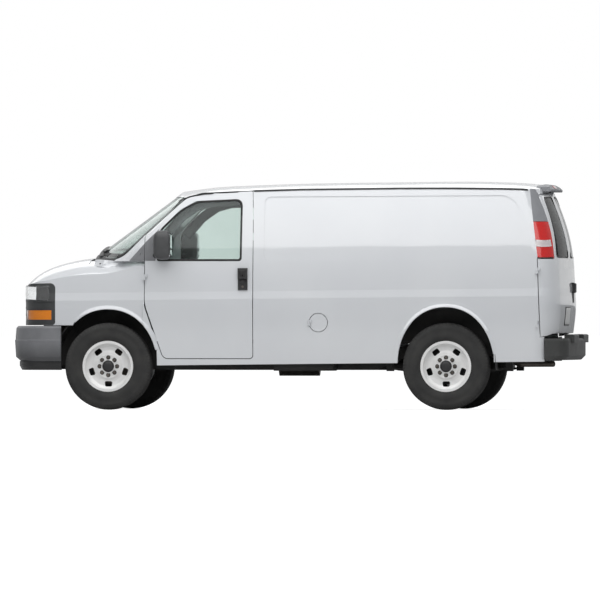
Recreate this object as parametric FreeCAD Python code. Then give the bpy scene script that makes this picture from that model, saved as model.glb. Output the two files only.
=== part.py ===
import FreeCAD, Part
import math
import os

# Full-size cargo van, millimetres. The front points to -X, the driver's side to -Y and +Z is up.
# The origin is on the ground under the middle of the van's box.
# The body is modelled level and then tipped nose down by its rake, as an empty van stands.

os.makedirs("parts", exist_ok=True)

# Driving dimensions of the whole van
front_overhang = 974.0
wheelbase = 3169.0
rear_overhang = 1191.0
body_width = 2012.0
rake = math.degrees(math.atan2(1.0, 100.0))
overrun = 40.0
seat_gap = 0.3
overall_length = front_overhang + wheelbase + rear_overhang
front_axle_x = front_overhang - overall_length / 2
rear_axle_x = front_axle_x + wheelbase

# Walls and gaps between panels
wall = 42.0
nose_wall = 30.0
roof_wall = 34.0
shut_gap = 7.0
centre_gap = 1.0
glass_thickness = 5.0
glass_sink = 4.0

# Levels of the body side, in the level body
sill_level = 428.0
crease_level = 1040.0
crease_height = 72.0
drip_level = 2048.0
loft_top = 2200.0
belly_half = body_width / 2
sill_tuck = 31.0
crease_step = 11.0
tumblehome = 158.0
straight_lean_share = 0.2

# Plan of the body: taper of the nose, bow of both ends and their corners
nose_x = front_axle_x - 862.0
nose_taper = 62.0
nose_bow = 3300.0
nose_corner = 270.0
tail_bow = 8900.0
tail_corner = 230.0
tail_x = rear_axle_x + 1108.0
tail_levels = [sill_level, 702.0, 850.0, 1000.0, 1112.0, 1378.0, 1529.0, 1679.0, 1830.0, 1980.0, 2055.0,
               loft_top]
tail_set_back = [39.0, 32.0, 4.0, 0.0, 1.0, 15.0, 33.0, 69.0, 115.0, 179.0, 211.0, 298.0]

# Front of the cab loft, ahead of the windshield foot
cabin_front_x = front_axle_x - 300.0

# Windshield: its centre line and how far it sweeps back at the sides
windshield_base_x = front_axle_x - 421.0
windshield_base_level = 1300.0
windshield_run = 1189.0
windshield_rise = 850.0
windshield_side = 900.0
windshield_sweep_low = 381.0
windshield_sweep_high = 179.0

# Roof crown: places along the van, level of the centre line and of the edge
roof_places = [-2250.0, -1250.0, -938.0, -786.0, -484.0, 46.0, 1000.0, 2021.0, 2311.0, 2560.0]
roof_centre = [1750.0, 1985.0, 2071.0, 2089.0, 2105.0, 2118.0, 2122.0, 2109.0, 2085.0, 2040.0]
roof_edge = [1650.0, 1900.0, 2001.0, 2031.0, 2046.0, 2050.0, 2051.0, 2040.0, 2025.0, 1990.0]
roof_edge_half = 852.0

# Hood and shoulder of the nose: places from the front axle, level of the ridge, fall to the side
hood_places = [-930.0, -784.0, -690.0, -549.0, -396.0, -266.0, -100.0, 125.0, 349.0, 500.0]
hood_ridge = [1108.0, 1217.0, 1302.0, 1372.0, 1413.0, 1434.0, 1440.0, 1441.0, 1436.0, 1430.0]
hood_fall = [150.0, 165.0, 180.0, 195.0, 205.0, 205.0, 195.0, 150.0, 95.0, 80.0]
hood_half = 990.0
hood_width_shares = [0.0, 0.35, 0.62, 0.82, 0.94, 1.0, 1.03]
hood_fall_shares = [0.0, 0.04, 0.14, 0.36, 0.66, 1.05, 1.6]

# Hood, grille and headlamps
hood_front_half = 640.0
hood_rear_half = 745.0
hood_square_length = 190.0
hood_rear_x = front_axle_x - 205.0
hood_low_z = 1190.0
grille_half = 640.0
grille_border = 44.0
grille_bar = 20.0
grille_post = 16.0
grille_rows = 5
grille_columns = 4
fender_rear_limit = front_axle_x - 120.0
fender_inner_half = 860.0
lamp_rear_x = front_axle_x - 499.0
lamp_low_z = 792.0
lamp_high_z = 1184.0
lamp_slope = 10.0
turn_inset = 36.0
turn_low_z = 843.0
turn_high_z = 930.0

# Front doors, as seen from the side
door_front_x = front_axle_x + 349.0
door_rear_x = door_front_x + 1011.0
door_bottom_z = 482.0
door_belt_z = 1388.0
door_top_z = 2042.0
door_pillar_foot_z = 1632.0
door_pillar_top_x = door_front_x + 372.0
door_pillar_top_z = 1970.0
door_foot_x = door_front_x + 174.0
door_kink_z = 985.0
door_roof_run = 150.0
door_roof_fall = 20.0
door_round = 60.0
window_frame = 34.0
window_rear_x = door_rear_x - 102.0
window_top_z = 1972.0
window_front_x = door_front_x + 150.0
window_front_z = 1700.0
window_corner_x = door_front_x + 319.0
window_corner_z = 1868.0
window_foot_x = door_front_x + 110.0

# Side cargo doors on the far side
side_door_front_x = door_rear_x + 86.0
side_door_split = 700.0
side_door_width = 1180.0
side_door_bottom_z = 492.0
side_door_top_z = 2003.0

# Rear doors
rear_seam_top_x = tail_x - 247.0
rear_seam_foot_x = tail_x - 219.0
rear_shelf_z = 1408.0
rear_bottom_z = 683.0
rear_bottom_rise = 0.17
rear_bottom_turn = 105.0
rear_bottom_lift = 29.0
rear_upper_inset = 92.0
rear_top_z = 2030.0
rear_top_fall = 22.0
rear_window_inner = 128.0
rear_window_low_z = 1417.0
rear_window_low_half = 850.0
rear_window_high_z = 2000.0
rear_window_high_half = 690.0

header_low_z = 1955.0
rear_trim_top_x = tail_x - 340.0
rear_trim_top_z = 2092.0
rear_lamp_top_z = 1756.0
header_half = 745.0

# Windshield glass, as seen from the front
windshield_low_half = 935.0
windshield_low_z = 1400.0
windshield_high_half = 815.0
windshield_high_z = 1990.0
windshield_arch = 58.0
windshield_arch_place_share = 0.5
windshield_arch_share = 0.75
cowl_edge_half = 870.0
wiper_lift = 1.0
wiper_depth = 14.0
wiper_width = 16.0
wiper_pivot_outer = 560.0
wiper_tip_outer = 20.0
wiper_pivot_inner = 90.0
wiper_tip_inner = 640.0
wiper_heel_share = 0.12
wiper_climb = 34.0
wiper_base_rise = 24.0
wiper_outer_drop = 56.0
wiper_inner_drop = 12.0
hood_hinge_back = 8.0
hood_hinge_radius = 6.0
hood_hinge_pin_radius = 3.5
hood_hinge_place = 250.0
hood_hinge_half = 22.0
hood_shut_gap = 20.0

# Pressed panel and fuel flap of the body side
panel_front_x = door_rear_x + 105.0
panel_rear_x = rear_axle_x + 739.0
panel_low_z = 1390.0
panel_high_z = 1990.0
panel_depth = 6.0
panel_slant = 75.0
panel_rise = 12.0
flap_gap = 5.5
flap_thickness = 30.0
flap_x = door_rear_x + 619.0
flap_z = 815.0
flap_radius = 84.0

# Wheels
tyre_radius = 407.0
tyre_width = 245.0
rim_radius = 243.0
front_track = 1748.0
rear_track = 1714.0
bolt_circle = 165.1

# Wheel arches
front_arch_half = 462.0
front_arch_top_z = 938.0
rear_arch_half = 452.0
rear_arch_top_z = 958.0

# Steering and front hubs
kingpin_half = 770.0
kingpin_radius = 26.0
ball_joint_spread = 133.0
hub_radius = 62.0
disc_radius = 165.0

# Frame, floor and firewall
rail_inner = 420.0
rail_outer = 500.0
rail_low_z = 372.0
rail_depth = 130.0
kick_up = 118.0
floor_thickness = 32.0
firewall_thickness = 24.0
liner_radius = 540.0
liner_thickness = 8.0

# Bumpers
bumper_thickness = 60.0
front_bumper_low_z = 454.0
front_bumper_top_z = 783.0
front_bumper_side_x = front_axle_x - 442.0
rear_bumper_low_z = 466.0
rear_bumper_top_z = 706.0
rear_bumper_front_x = rear_axle_x + 926.0

# Hinges of doors
hinge_offset = 6.0
hinge_radius = 9.0
hinge_pin_radius = 5.0
hinge_height = 28.0
hinge_lead = 1.0
swing_gap = 5.0
rear_swing_low_radius = 203.0
rear_swing_high_radius = 246.0
front_hinge_levels = [700.0, 1240.0]
rear_hinge_levels = [800.0, 1300.0]
side_hinge_levels = [700.0, 1300.0]
flap_hinge_x = flap_x - flap_radius - hinge_lead

hood_hinge_z = 1404.0
handle_low_z = 1122.0
handle_height = 206.0
handle_width = 90.0
handle_plate = 10.0
handle_proud = 32.0
handle_edge = 34.0
rear_handle_low_z = 1000.0
rear_handle_high_z = 1190.0
rear_handle_sink = 14.0
rear_handle_inner = 40.0
rear_handle_width = 110.0
high_lamp_front_x = 2290.0
high_lamp_length = 140.0
high_lamp_low_z = 2040.0
high_lamp_height = 72.0
high_lamp_fall = 30.0
high_lamp_half = 600.0

rear_shelf_cut_z = 740.0

# Frame details
rail_front_reach = 700.0
rail_rear_reach = 950.0
rail_front_rise = 40.0
cross_member_places = [-2330.0, -900.0, 520.0, 860.0, 1850.0, 2380.0]
cross_member_width = 80.0
cross_member_height = 52.0
cross_member_low_z = 448.0
body_mount_places = [-900.0, 640.0]
body_mount_half = 880.0
floor_low_z = rail_low_z + rail_depth + kick_up + seat_gap
floor_side_gap = 1.6
floor_tail = 70.0
floor_tail_half = 870.0

# Wheel boxes, toe board and firewall
wheelhouse_inner = 660.0
firewall_foot_x = door_front_x + 214.0
toe_x = door_front_x + 60.0
toe_z = 905.0
firewall_x = door_front_x - 300.0
firewall_z = 1010.0
cowl_x = door_front_x - 420.0
cowl_z = 1372.0
cowl_rear_x = door_front_x - 60.0
cowl_half = 800.0
firewall_half = 855.0
liner_side_gap = 20.0
liner_low_z = 560.0
liner_slot = 160.0
liner_slot_z = 575.0

# Bumper details
bumper_half = 1004.0
bumper_taper = 40.0
front_bumper_ledge_z = 650.0
valance_low_z = 372.0
valance_set_back = 45.0
rear_bumper_side_z = 668.0
rear_bumper_half = 985.0
rear_bumper_corner = 120.0
rear_bumper_depth = 125.0
bracket_inset = 12.0
rear_step_half = 260.0
rear_pad_half = 760.0
ball_hole_radius = 13.0
ball_hole_x = rear_axle_x + rear_overhang - rear_bumper_depth / 2
ball_hole_length = rear_bumper_side_z - rear_bumper_low_z

# Tyre and rim section
rim_seat_radius = 221.0
tyre_crown = 9.0
rim_clear = 0.4
rim_half_width = 106.0
rim_metal = 7.0
rim_drop = 18.0
disc_radii = [216.0, 200.0, 184.0, 150.0, 128.0, 113.0, 108.0, 20.0]
disc_depths = [76.0, 62.0, 54.0, 54.0, 60.0, 62.0, 52.0, 52.0]
hand_hole_place = 164.0
hand_hole_length = 74.0
hand_hole_width = 50.0
lug_radius = 13.0
lug_height = 22.0
cap_ring_radius = 66.0
cap_ring_height = 12.0
cap_radius = 54.0
cap_height = 26.0

# Suspension, axle and drive line
suspension_half_length = 90.0
suspension_low_z = 240.0
suspension_depth = 90.0
arm_spread = 120.0
saddle_drop = 4.0
arm_depth = 28.0
axle_radius = 46.0
diff_radius = 150.0
drum_width = 90.0
spring_thickness = 18.0
spring_width = 64.0
spring_reach = 560.0
shaft_front_reach = 900.0
shaft_radius = 38.0
pipe_radius = 28.0
muffler_radius = 92.0
hanger_places = cross_member_places[2:4]
hanger_radius = 7.0
muffler_length = 380.0
exhaust_route = [(400.0, 230.0, 405.0), (1480.0, 250.0, 405.0), (2620.0, 250.0, 405.0), (2980.0, 250.0,
                                                                                         548.0),
                 (3400.0, 250.0, 548.0), (3760.0, 250.0, 425.0), (4040.0, 560.0, 425.0)]

# Engine, tank and cab fittings
engine_front = 560.0
engine_rear = 130.0
engine_half = 260.0
engine_low_z = 520.0
engine_high_z = 960.0
gearbox_half = 110.0
gearbox_height = 80.0
tank_outer = 860.0
tank_low_z = 365.0
tank_top_z = 590.0
tank_front_x = -150.0
tank_length = 560.0
tank_round = 40.0
seat_place = 470.0
seat_x = door_rear_x - 130.0
seat_width = 500.0
seat_depth = 470.0
seat_rise = 230.0
seat_cushion = 130.0
seat_lean = 170.0
seat_back = 720.0
head_gap = 40.0
head_height = 150.0
head_width = 260.0
head_rod = 7.0
dash_rear_x = door_front_x + 60.0
dash_drop = 110.0
dash_half = 850.0
column_reach = 130.0
column_length = 260.0
column_tilt = 62.0
wheel_hand_radius = 190.0
wheel_hand_grip = 15.0
wheel_boss_radius = 60.0
mirror_front_x = door_front_x + 96.0
mirror_rear_x = door_front_x + 262.0
mirror_low_z = 1406.0
mirror_high_z = 1676.0
mirror_length = 166.0
mirror_outer = 1215.0
mirror_depth = 100.0
mirror_arm_length = 60.0


def vector(x, y, z):
    return FreeCAD.Vector(x, y, z)


def box(x_low, x_high, y_low, y_high, z_low, z_high):
    corner = vector(x_low, y_low, z_low)
    return Part.makeBox(x_high - x_low, y_high - y_low, z_high - z_low, corner)


def cylinder(start, direction, radius, length):
    return Part.makeCylinder(radius, length, start, direction)


def side_place(u, v):
    return vector(u, 0.0, v)


def front_place(u, v):
    return vector(0.0, u, v)


def plan_place(u, v):
    return vector(u, v, 0.0)


def rounded_wire(points, radii, place):
    """Closed outline of flat points with each corner rounded by its radius."""
    count = len(points)
    ends = []
    for index in range(count):
        before = points[index - 1]
        here = points[index]
        after = points[(index + 1) % count]
        radius = radii[index] if isinstance(radii, list) else radii
        back = (before[0] - here[0], before[1] - here[1])
        ahead = (after[0] - here[0], after[1] - here[1])
        back_length = math.hypot(*back)
        ahead_length = math.hypot(*ahead)
        back = (back[0] / back_length, back[1] / back_length)
        ahead = (ahead[0] / ahead_length, ahead[1] / ahead_length)
        half_angle = math.acos(max(-1.0, min(1.0, back[0] * ahead[0] + back[1] * ahead[1]))) / 2
        if radius == 0 or half_angle > math.radians(89.5):
            ends.append((here, here, here))
            continue
        reach = radius / math.tan(half_angle)
        middle = (back[0] + ahead[0], back[1] + ahead[1])
        middle_length = math.hypot(*middle)
        out = radius / math.sin(half_angle) - radius
        start = (here[0] + back[0] * reach, here[1] + back[1] * reach)
        stop = (here[0] + ahead[0] * reach, here[1] + ahead[1] * reach)
        crown = (here[0] + middle[0] / middle_length * out, here[1] + middle[1] / middle_length * out)
        ends.append((start, crown, stop))
    edges = []
    for index in range(count):
        start, crown, stop = ends[index]
        following = ends[(index + 1) % count][0]
        if start != stop:
            edges.append(Part.Arc(place(*start), place(*crown), place(*stop)).toShape())
        if math.hypot(following[0] - stop[0], following[1] - stop[1]) > seat_gap / 10:
            edges.append(Part.makeLine(place(*stop), place(*following)))
    return Part.Wire(edges)


def side_prism(points, radii, y_low, y_high, grow=0.0):
    """Outline drawn from the side, grown by an amount and pushed along Y."""
    face = Part.Face(rounded_wire(points, radii, side_place))
    if grow:
        face = Part.Face(face.OuterWire.makeOffset2D(grow))
    face.translate(vector(0.0, y_low, 0.0))
    return face.extrude(vector(0.0, y_high - y_low, 0.0))


def front_prism(points, radii, x_low, x_high, grow=0.0):
    """Outline drawn from the front, grown by an amount and pushed along X."""
    face = Part.Face(rounded_wire(points, radii, front_place))
    if grow:
        face = Part.Face(face.OuterWire.makeOffset2D(grow))
    face.translate(vector(x_low, 0.0, 0.0))
    return face.extrude(vector(x_high - x_low, 0.0, 0.0))


def plan_prism(points, radii, z_low, z_high):
    face = Part.Face(rounded_wire(points, radii, plan_place))
    face.translate(vector(0.0, 0.0, z_low))
    return face.extrude(vector(0.0, 0.0, z_high - z_low))


def mirrored(shape):
    return shape.mirror(vector(0.0, 0.0, 0.0), vector(0.0, 1.0, 0.0))


def tipped(shape):
    """The level body turned nose down by its rake."""
    turned = shape.copy()
    turned.rotate(vector(0.0, 0.0, 0.0), vector(0.0, 1.0, 0.0), -rake)
    return turned


def largest_solid(shape):
    return max(shape.Solids, key=lambda solid: solid.Volume)


def fuse_all(shapes):
    joined = shapes[0].multiFuse(shapes[1:]) if len(shapes) > 1 else shapes[0]
    return joined.removeSplitter()


def interpolate(value, places, amounts):
    if value <= places[0]:
        return amounts[0]
    for index in range(1, len(places)):
        if value <= places[index]:
            part = (value - places[index - 1]) / (places[index] - places[index - 1])
            return amounts[index - 1] + part * (amounts[index] - amounts[index - 1])
    return amounts[-1]


def side_half(level):
    """Half width of the body side at a level of the level body."""
    if level <= crease_level:
        fall = (crease_level - level) / (crease_level - sill_level)
        return belly_half - sill_tuck * fall * fall
    if level <= crease_level + crease_height:
        return belly_half - crease_step * (level - crease_level) / crease_height
    rise = (level - crease_level - crease_height) / (drip_level - crease_level - crease_height)
    lean = straight_lean_share * rise + (1 - straight_lean_share) * rise * rise
    return belly_half - crease_step - tumblehome * lean


def plan_outline(near_x, near_half, far_x, far_half, bow, corner, level):
    """Horizontal outline: straight sides, rounded far corners and a bowed far end."""
    way = 1.0 if far_x > near_x else -1.0
    start = vector(near_x, -near_half, 0.0)
    along = vector(far_x, -far_half, 0.0).sub(start)
    along.normalize()
    inward = vector(-along.y, along.x, 0.0)
    if inward.y < 0:
        inward = inward.multiply(-1.0)
    bow_centre = vector(far_x - way * bow, 0.0, 0.0)
    origin = start.add(vector(inward.x, inward.y, 0.0).multiply(corner)).sub(bow_centre)
    across = origin.dot(along)
    reach = -across + math.sqrt(across * across - origin.dot(origin) + (bow - corner) ** 2)
    centre = origin.add(vector(along.x, along.y, 0.0).multiply(reach)).add(bow_centre)
    side_touch = centre.sub(vector(inward.x, inward.y, 0.0).multiply(corner))
    spoke = centre.sub(bow_centre)
    spoke.normalize()
    bow_touch = bow_centre.add(vector(spoke.x, spoke.y, 0.0).multiply(bow))
    middle = side_touch.sub(centre).add(bow_touch.sub(centre))
    middle.normalize()
    crown = centre.add(middle.multiply(corner))

    def near_side(spot):
        return vector(spot.x, spot.y, level)

    def far_side(spot):
        return vector(spot.x, -spot.y, level)

    tip = vector(far_x, 0.0, level)
    edges = [
        Part.makeLine(far_side(start), near_side(start)),
        Part.makeLine(near_side(start), near_side(side_touch)),
        Part.Arc(near_side(side_touch), near_side(crown), near_side(bow_touch)).toShape(),
        Part.Arc(near_side(bow_touch), tip, far_side(bow_touch)).toShape(),
        Part.Arc(far_side(bow_touch), far_side(crown), far_side(side_touch)).toShape(),
        Part.makeLine(far_side(side_touch), far_side(start)),
    ]
    return Part.Wire(edges)


def cabin_section(level, near_x, inset):
    tail = tail_x - interpolate(level, tail_levels, tail_set_back) - inset
    half = side_half(level) - inset
    return plan_outline(near_x, half, tail, half, tail_bow, tail_corner - inset, level)


def nose_section(level, near_x, inset):
    half = side_half(level) - inset
    return plan_outline(near_x, half, nose_x + inset, half - nose_taper, nose_bow, nose_corner - inset, level)


def stacked_loft(section, near_x, inset, low_level, high_level):
    """Body sides in three lofts that meet at the two edges of the crease band."""
    band_low = crease_level
    band_high = crease_level + crease_height
    low_levels = [low_level, (low_level * 2 + band_low) / 3, (low_level + band_low * 2) / 3, band_low]
    count = 5
    high_levels = [band_high + (high_level - band_high) * step / count for step in range(count + 1)]
    lower = Part.makeLoft([section(level, near_x, inset) for level in low_levels], True, False)
    band = Part.makeLoft([section(level, near_x, inset) for level in (band_low, band_high)], True, True)
    upper = Part.makeLoft([section(level, near_x, inset) for level in high_levels], True, False)
    return lower.fuse(band).fuse(upper)


def windshield_cutter(inset):
    """Everything behind the swept windshield surface."""
    wires = []
    top_x = windshield_base_x + windshield_run
    top_level = windshield_base_level + windshield_rise
    rows = ((windshield_base_x, windshield_base_level, windshield_sweep_low),
            (top_x, top_level, windshield_sweep_high))
    run = inset * math.hypot(windshield_run, windshield_rise) / windshield_rise
    for place_x, level, sweep in rows:
        radius = (windshield_side ** 2 + sweep ** 2) / (2 * sweep)
        reach = belly_half + overrun
        back = radius - math.sqrt(radius ** 2 - reach ** 2)
        left = vector(place_x + back + run, -reach, level)
        right = vector(place_x + back + run, reach, level)
        tip = vector(place_x + run, 0.0, level)
        far_left = vector(tail_x + rear_overhang, -reach, level)
        far_right = vector(tail_x + rear_overhang, reach, level)
        wires.append(Part.Wire([
            Part.Arc(left, tip, right).toShape(),
            Part.makeLine(right, far_right),
            Part.makeLine(far_right, far_left),
            Part.makeLine(far_left, left),
        ]))
    return Part.makeLoft(wires, True, True)


def roof_cutter(inset):
    """Everything under the crowned roof."""
    wires = []
    for place_x, centre, edge in zip(roof_places, roof_centre, roof_edge):
        radius = (roof_edge_half ** 2 + (centre - edge) ** 2) / (2 * (centre - edge))
        reach = belly_half + overrun
        fall = radius - math.sqrt(radius ** 2 - reach ** 2)
        left = vector(place_x, -reach, centre - fall - inset)
        right = vector(place_x, reach, centre - fall - inset)
        low_left = vector(place_x, -reach, windshield_base_level)
        low_right = vector(place_x, reach, windshield_base_level)
        wires.append(Part.Wire([
            Part.Arc(left, vector(place_x, 0.0, centre - inset), right).toShape(),
            Part.makeLine(right, low_right),
            Part.makeLine(low_right, low_left),
            Part.makeLine(low_left, left),
        ]))
    return Part.makeLoft(wires, True, False)


def hood_cutter(inset):
    """Everything under the hood and the shoulders of the fenders."""
    wires = []
    for place, ridge, fall in zip(hood_places, hood_ridge, hood_fall):
        place_x = front_axle_x + place
        points = []
        for width_share, fall_share in zip(hood_width_shares, hood_fall_shares):
            points.append(vector(place_x, width_share * (hood_half - inset),
                                 ridge - inset - fall_share * fall))
        whole = [vector(spot.x, -spot.y, spot.z) for spot in reversed(points[1:])] + points
        curve = Part.BSplineCurve()
        curve.interpolate(whole)
        left = whole[0]
        right = whole[-1]
        low_left = vector(place_x, left.y, sill_level - overrun)
        low_right = vector(place_x, right.y, sill_level - overrun)
        wires.append(Part.Wire([
            curve.toShape(),
            Part.makeLine(right, low_right),
            Part.makeLine(low_right, low_left),
            Part.makeLine(low_left, left),
        ]))
    return Part.makeLoft(wires, True, False)


def cabin_solid(inset, front_inset, roof_inset, low_level):
    """Cab and load space as one solid, in the standing van."""
    stack = stacked_loft(cabin_section, cabin_front_x, inset, low_level, loft_top)
    upper_keep = windshield_cutter(front_inset).common(roof_cutter(roof_inset))
    lower_keep = box(cabin_front_x - overrun, tail_x + overrun, -body_width, body_width,
                     low_level - overrun, windshield_base_level)
    level_body = stack.common(upper_keep.fuse(lower_keep))
    ahead = box(cabin_front_x - body_width, door_front_x, -body_width, body_width,
                low_level - body_width, door_belt_z)
    return tipped(level_body).cut(ahead)


def nose_solid(inset, low_level):
    """Hood and fenders as one solid, in the standing van."""
    near_x = door_front_x + body_width / 10
    high_level = hood_ridge[-1] + overrun
    stack = stacked_loft(nose_section, near_x, inset, low_level, high_level)
    behind = box(door_front_x - shut_gap, door_front_x + body_width, -body_width, body_width,
                 low_level - body_width, body_width)
    return tipped(stack.common(hood_cutter(inset))).cut(behind)


def front_door_points():
    return [
        (door_front_x, door_kink_z),
        (door_front_x, door_pillar_foot_z),
        (door_pillar_top_x, door_pillar_top_z),
        (door_pillar_top_x + door_roof_run, door_top_z - door_roof_fall),
        (door_rear_x, door_top_z),
        (door_rear_x, door_bottom_z),
        (door_foot_x, door_bottom_z),
    ]


def front_door_prism(grow, y_low, y_high):
    radii = [door_round * 6, door_round / 2, door_round * 2, door_round * 3, door_round / 2,
             door_round / 2, door_round]
    return side_prism(front_door_points(), radii, y_low, y_high, grow)


def front_window_prism(grow, y_low, y_high):
    points = [
        (window_front_x, window_front_z),
        (window_corner_x, window_corner_z),
        (window_corner_x + door_roof_run, window_top_z - door_roof_fall),
        (window_rear_x, window_top_z),
        (window_rear_x, door_belt_z),
        (window_foot_x, door_belt_z),
        (window_foot_x, window_front_z - window_frame * 2),
    ]
    radii = [door_round / 3, door_round * 2, door_round * 2, door_round * 1.2, door_round / 2,
             door_round / 3, door_round / 3]
    return side_prism(points, radii, y_low, y_high, grow)


def door_swing(radius):
    """What lies within a radius of the front door's hinge axis."""
    foot = vector(door_front_x - hinge_lead, -belly_half - hinge_offset, 0.0)
    return cylinder(foot, vector(0.0, 0.0, 1.0), radius, body_width * 2)


def rear_door_keep(grow):
    """Space that both rear doors take: wrapped round the corners below, narrower above."""
    far_x = tail_x + overrun
    foot_x = rear_seam_foot_x - grow
    lower_points = [
        (rear_seam_top_x - grow, rear_shelf_z + grow),
        (far_x, rear_shelf_z + grow),
        (far_x, rear_bottom_z - grow + (far_x - foot_x) * rear_bottom_rise),
        (foot_x + rear_bottom_turn, rear_bottom_z - grow + rear_bottom_lift),
        (foot_x + rear_bottom_turn / 2, rear_bottom_z - grow + rear_bottom_turn * rear_bottom_rise / 2),
        (foot_x, rear_bottom_z - grow),
    ]
    lower = side_prism(lower_points, 0, -body_width, body_width)
    low_half = side_half(rear_shelf_z) - rear_upper_inset + grow
    high_half = side_half(rear_top_z) - rear_upper_inset + grow
    upper_points = [
        (-low_half, rear_shelf_z - overrun),
        (-high_half, rear_top_z + grow - rear_top_fall),
        (0.0, rear_top_z + grow),
        (high_half, rear_top_z + grow - rear_top_fall),
        (low_half, rear_shelf_z - overrun),
    ]
    upper = front_prism(upper_points, [0, door_round, body_width, door_round, 0],
                        rear_seam_top_x - overrun * 4, far_x)
    foot_z = rear_shelf_z - overrun
    for way in (-1, 1):
        foot = vector(rear_seam_top_x - hinge_lead, way * (belly_half + hinge_offset), foot_z)
        swing = Part.makeCone(rear_swing_low_radius - grow, rear_swing_high_radius - grow,
                              rear_top_z + overrun - foot_z, foot, vector(0.0, 0.0, 1.0))
        upper = upper.cut(swing)
    return lower.fuse(upper)


def rear_window_prism(way, grow):
    points = [
        (way * rear_window_inner, rear_window_low_z),
        (way * rear_window_inner, rear_window_high_z),
        (way * rear_window_high_half, rear_window_high_z - rear_top_fall / 2),
        (way * rear_window_low_half, rear_window_low_z),
    ]
    return front_prism(points, door_round, rear_seam_top_x - overrun * 4, tail_x + overrun, grow)


def upper_loft(section, near_x, inset):
    """Only the part of the body sides above the crease band."""
    band_high = crease_level + crease_height
    count = 5
    levels = [band_high + (loft_top - band_high) * step / count for step in range(count + 1)]
    return tipped(Part.makeLoft([section(level, near_x, inset) for level in levels], True, False))


def build_glass(window, outer, inner):
    return window.common(outer).cut(inner)


def arch_prism(axle_x, half, top_z, y_low, y_high, grow=0.0):
    """Wheel opening: an upright ellipse-like arch, open below."""
    axle_z = tyre_radius
    rise = top_z - axle_z + grow
    reach = half + grow
    left = side_place(axle_x - reach, axle_z)
    right = side_place(axle_x + reach, axle_z)
    high = side_place(axle_x, axle_z + rise)
    low_left = side_place(axle_x - reach, 0.0)
    low_right = side_place(axle_x + reach, 0.0)
    curve = Part.BSplineCurve()
    slope = vector(0.0, 0.0, rise * 1.3)
    lean_share = 0.72
    left_high = side_place(axle_x - reach * lean_share, axle_z + rise * lean_share)
    right_high = side_place(axle_x + reach * lean_share, axle_z + rise * lean_share)
    curve.interpolate([left, left_high, high, right_high, right],
                      InitialTangent=slope, FinalTangent=slope.multiply(-1.0))
    wire = Part.Wire([curve.toShape(), Part.makeLine(right, low_right),
                      Part.makeLine(low_right, low_left), Part.makeLine(low_left, left)])
    face = Part.Face(wire)
    face.translate(vector(0.0, y_low, 0.0))
    return face.extrude(vector(0.0, y_high - y_low, 0.0))


def roof_keep():
    """Space above the drip line."""
    high = body_width * 2
    points = [
        (door_front_x - body_width / 4, door_pillar_top_z + shut_gap * 2),
        (door_pillar_top_x, door_pillar_top_z + shut_gap * 2),
        (door_pillar_top_x + door_roof_run, door_top_z - door_roof_fall + shut_gap),
        (door_rear_x, door_top_z + shut_gap),
        (rear_axle_x, door_top_z + shut_gap * 2),
        (tail_x + overrun, door_top_z + shut_gap),
        (tail_x + overrun, high),
        (door_front_x - body_width / 4, high),
    ]
    return side_prism(points, 0, -body_width, body_width)


def corner_keep(low_z, high_z, y_low, y_high):
    """Space behind the seam between the body side and the rear corner."""
    lean = (rear_seam_top_x - rear_trim_top_x) / (rear_trim_top_z - rear_shelf_z)
    points = [
        (rear_seam_top_x - lean * (low_z - rear_shelf_z), low_z),
        (rear_seam_top_x - lean * (high_z - rear_shelf_z), high_z),
        (tail_x + overrun, high_z),
        (tail_x + overrun, low_z),
    ]
    return side_prism(points, 0, y_low, y_high)


def windshield_prism(grow):
    points = [
        (-windshield_low_half, windshield_low_z),
        (-windshield_high_half, windshield_high_z),
        (windshield_high_half, windshield_high_z),
        (windshield_low_half, windshield_low_z),
        (windshield_low_half * windshield_arch_place_share,
         windshield_low_z + windshield_arch * windshield_arch_share),
        (0.0, windshield_low_z + windshield_arch),
        (-windshield_low_half * windshield_arch_place_share,
         windshield_low_z + windshield_arch * windshield_arch_share),
    ]
    radii = [door_round] * 4 + [windshield_low_half] * 3
    return front_prism(points, radii, cabin_front_x - body_width, door_pillar_top_x, grow)


def build_wipers():
    """Two blades with their arms, bent to the glass, and the pivots that carry them."""
    outer = tipped(windshield_cutter(-wiper_lift - wiper_depth))
    above_glass = tipped(windshield_cutter(glass_sink - seat_gap))
    above_frame = tipped(windshield_cutter(-wiper_lift))
    shapes = []
    base_z = windshield_low_z + windshield_arch + wiper_base_rise
    for pivot_y, tip_y, drop in ((-wiper_pivot_outer, -wiper_tip_outer, wiper_outer_drop),
                                 (wiper_pivot_inner, wiper_tip_inner, wiper_inner_drop)):
        heel_y = pivot_y + (tip_y - pivot_y) * wiper_heel_share
        blade = [
            (heel_y, base_z),
            (heel_y, base_z + wiper_width),
            (tip_y, base_z + wiper_climb + wiper_width),
            (tip_y, base_z + wiper_climb),
        ]
        arm = [
            (pivot_y, base_z - drop),
            (pivot_y, base_z - drop + wiper_width),
            ((heel_y + tip_y) / 2, base_z + wiper_climb / 2 + wiper_width),
            ((heel_y + tip_y) / 2, base_z + wiper_climb / 2),
        ]
        for points, under in ((blade, above_glass), (arm, above_frame)):
            strip = front_prism(points, 0, cabin_front_x - body_width, door_pillar_top_x)
            shapes.append(strip.common(outer).cut(under))
    return shapes[0].multiFuse(shapes[1:])


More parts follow.
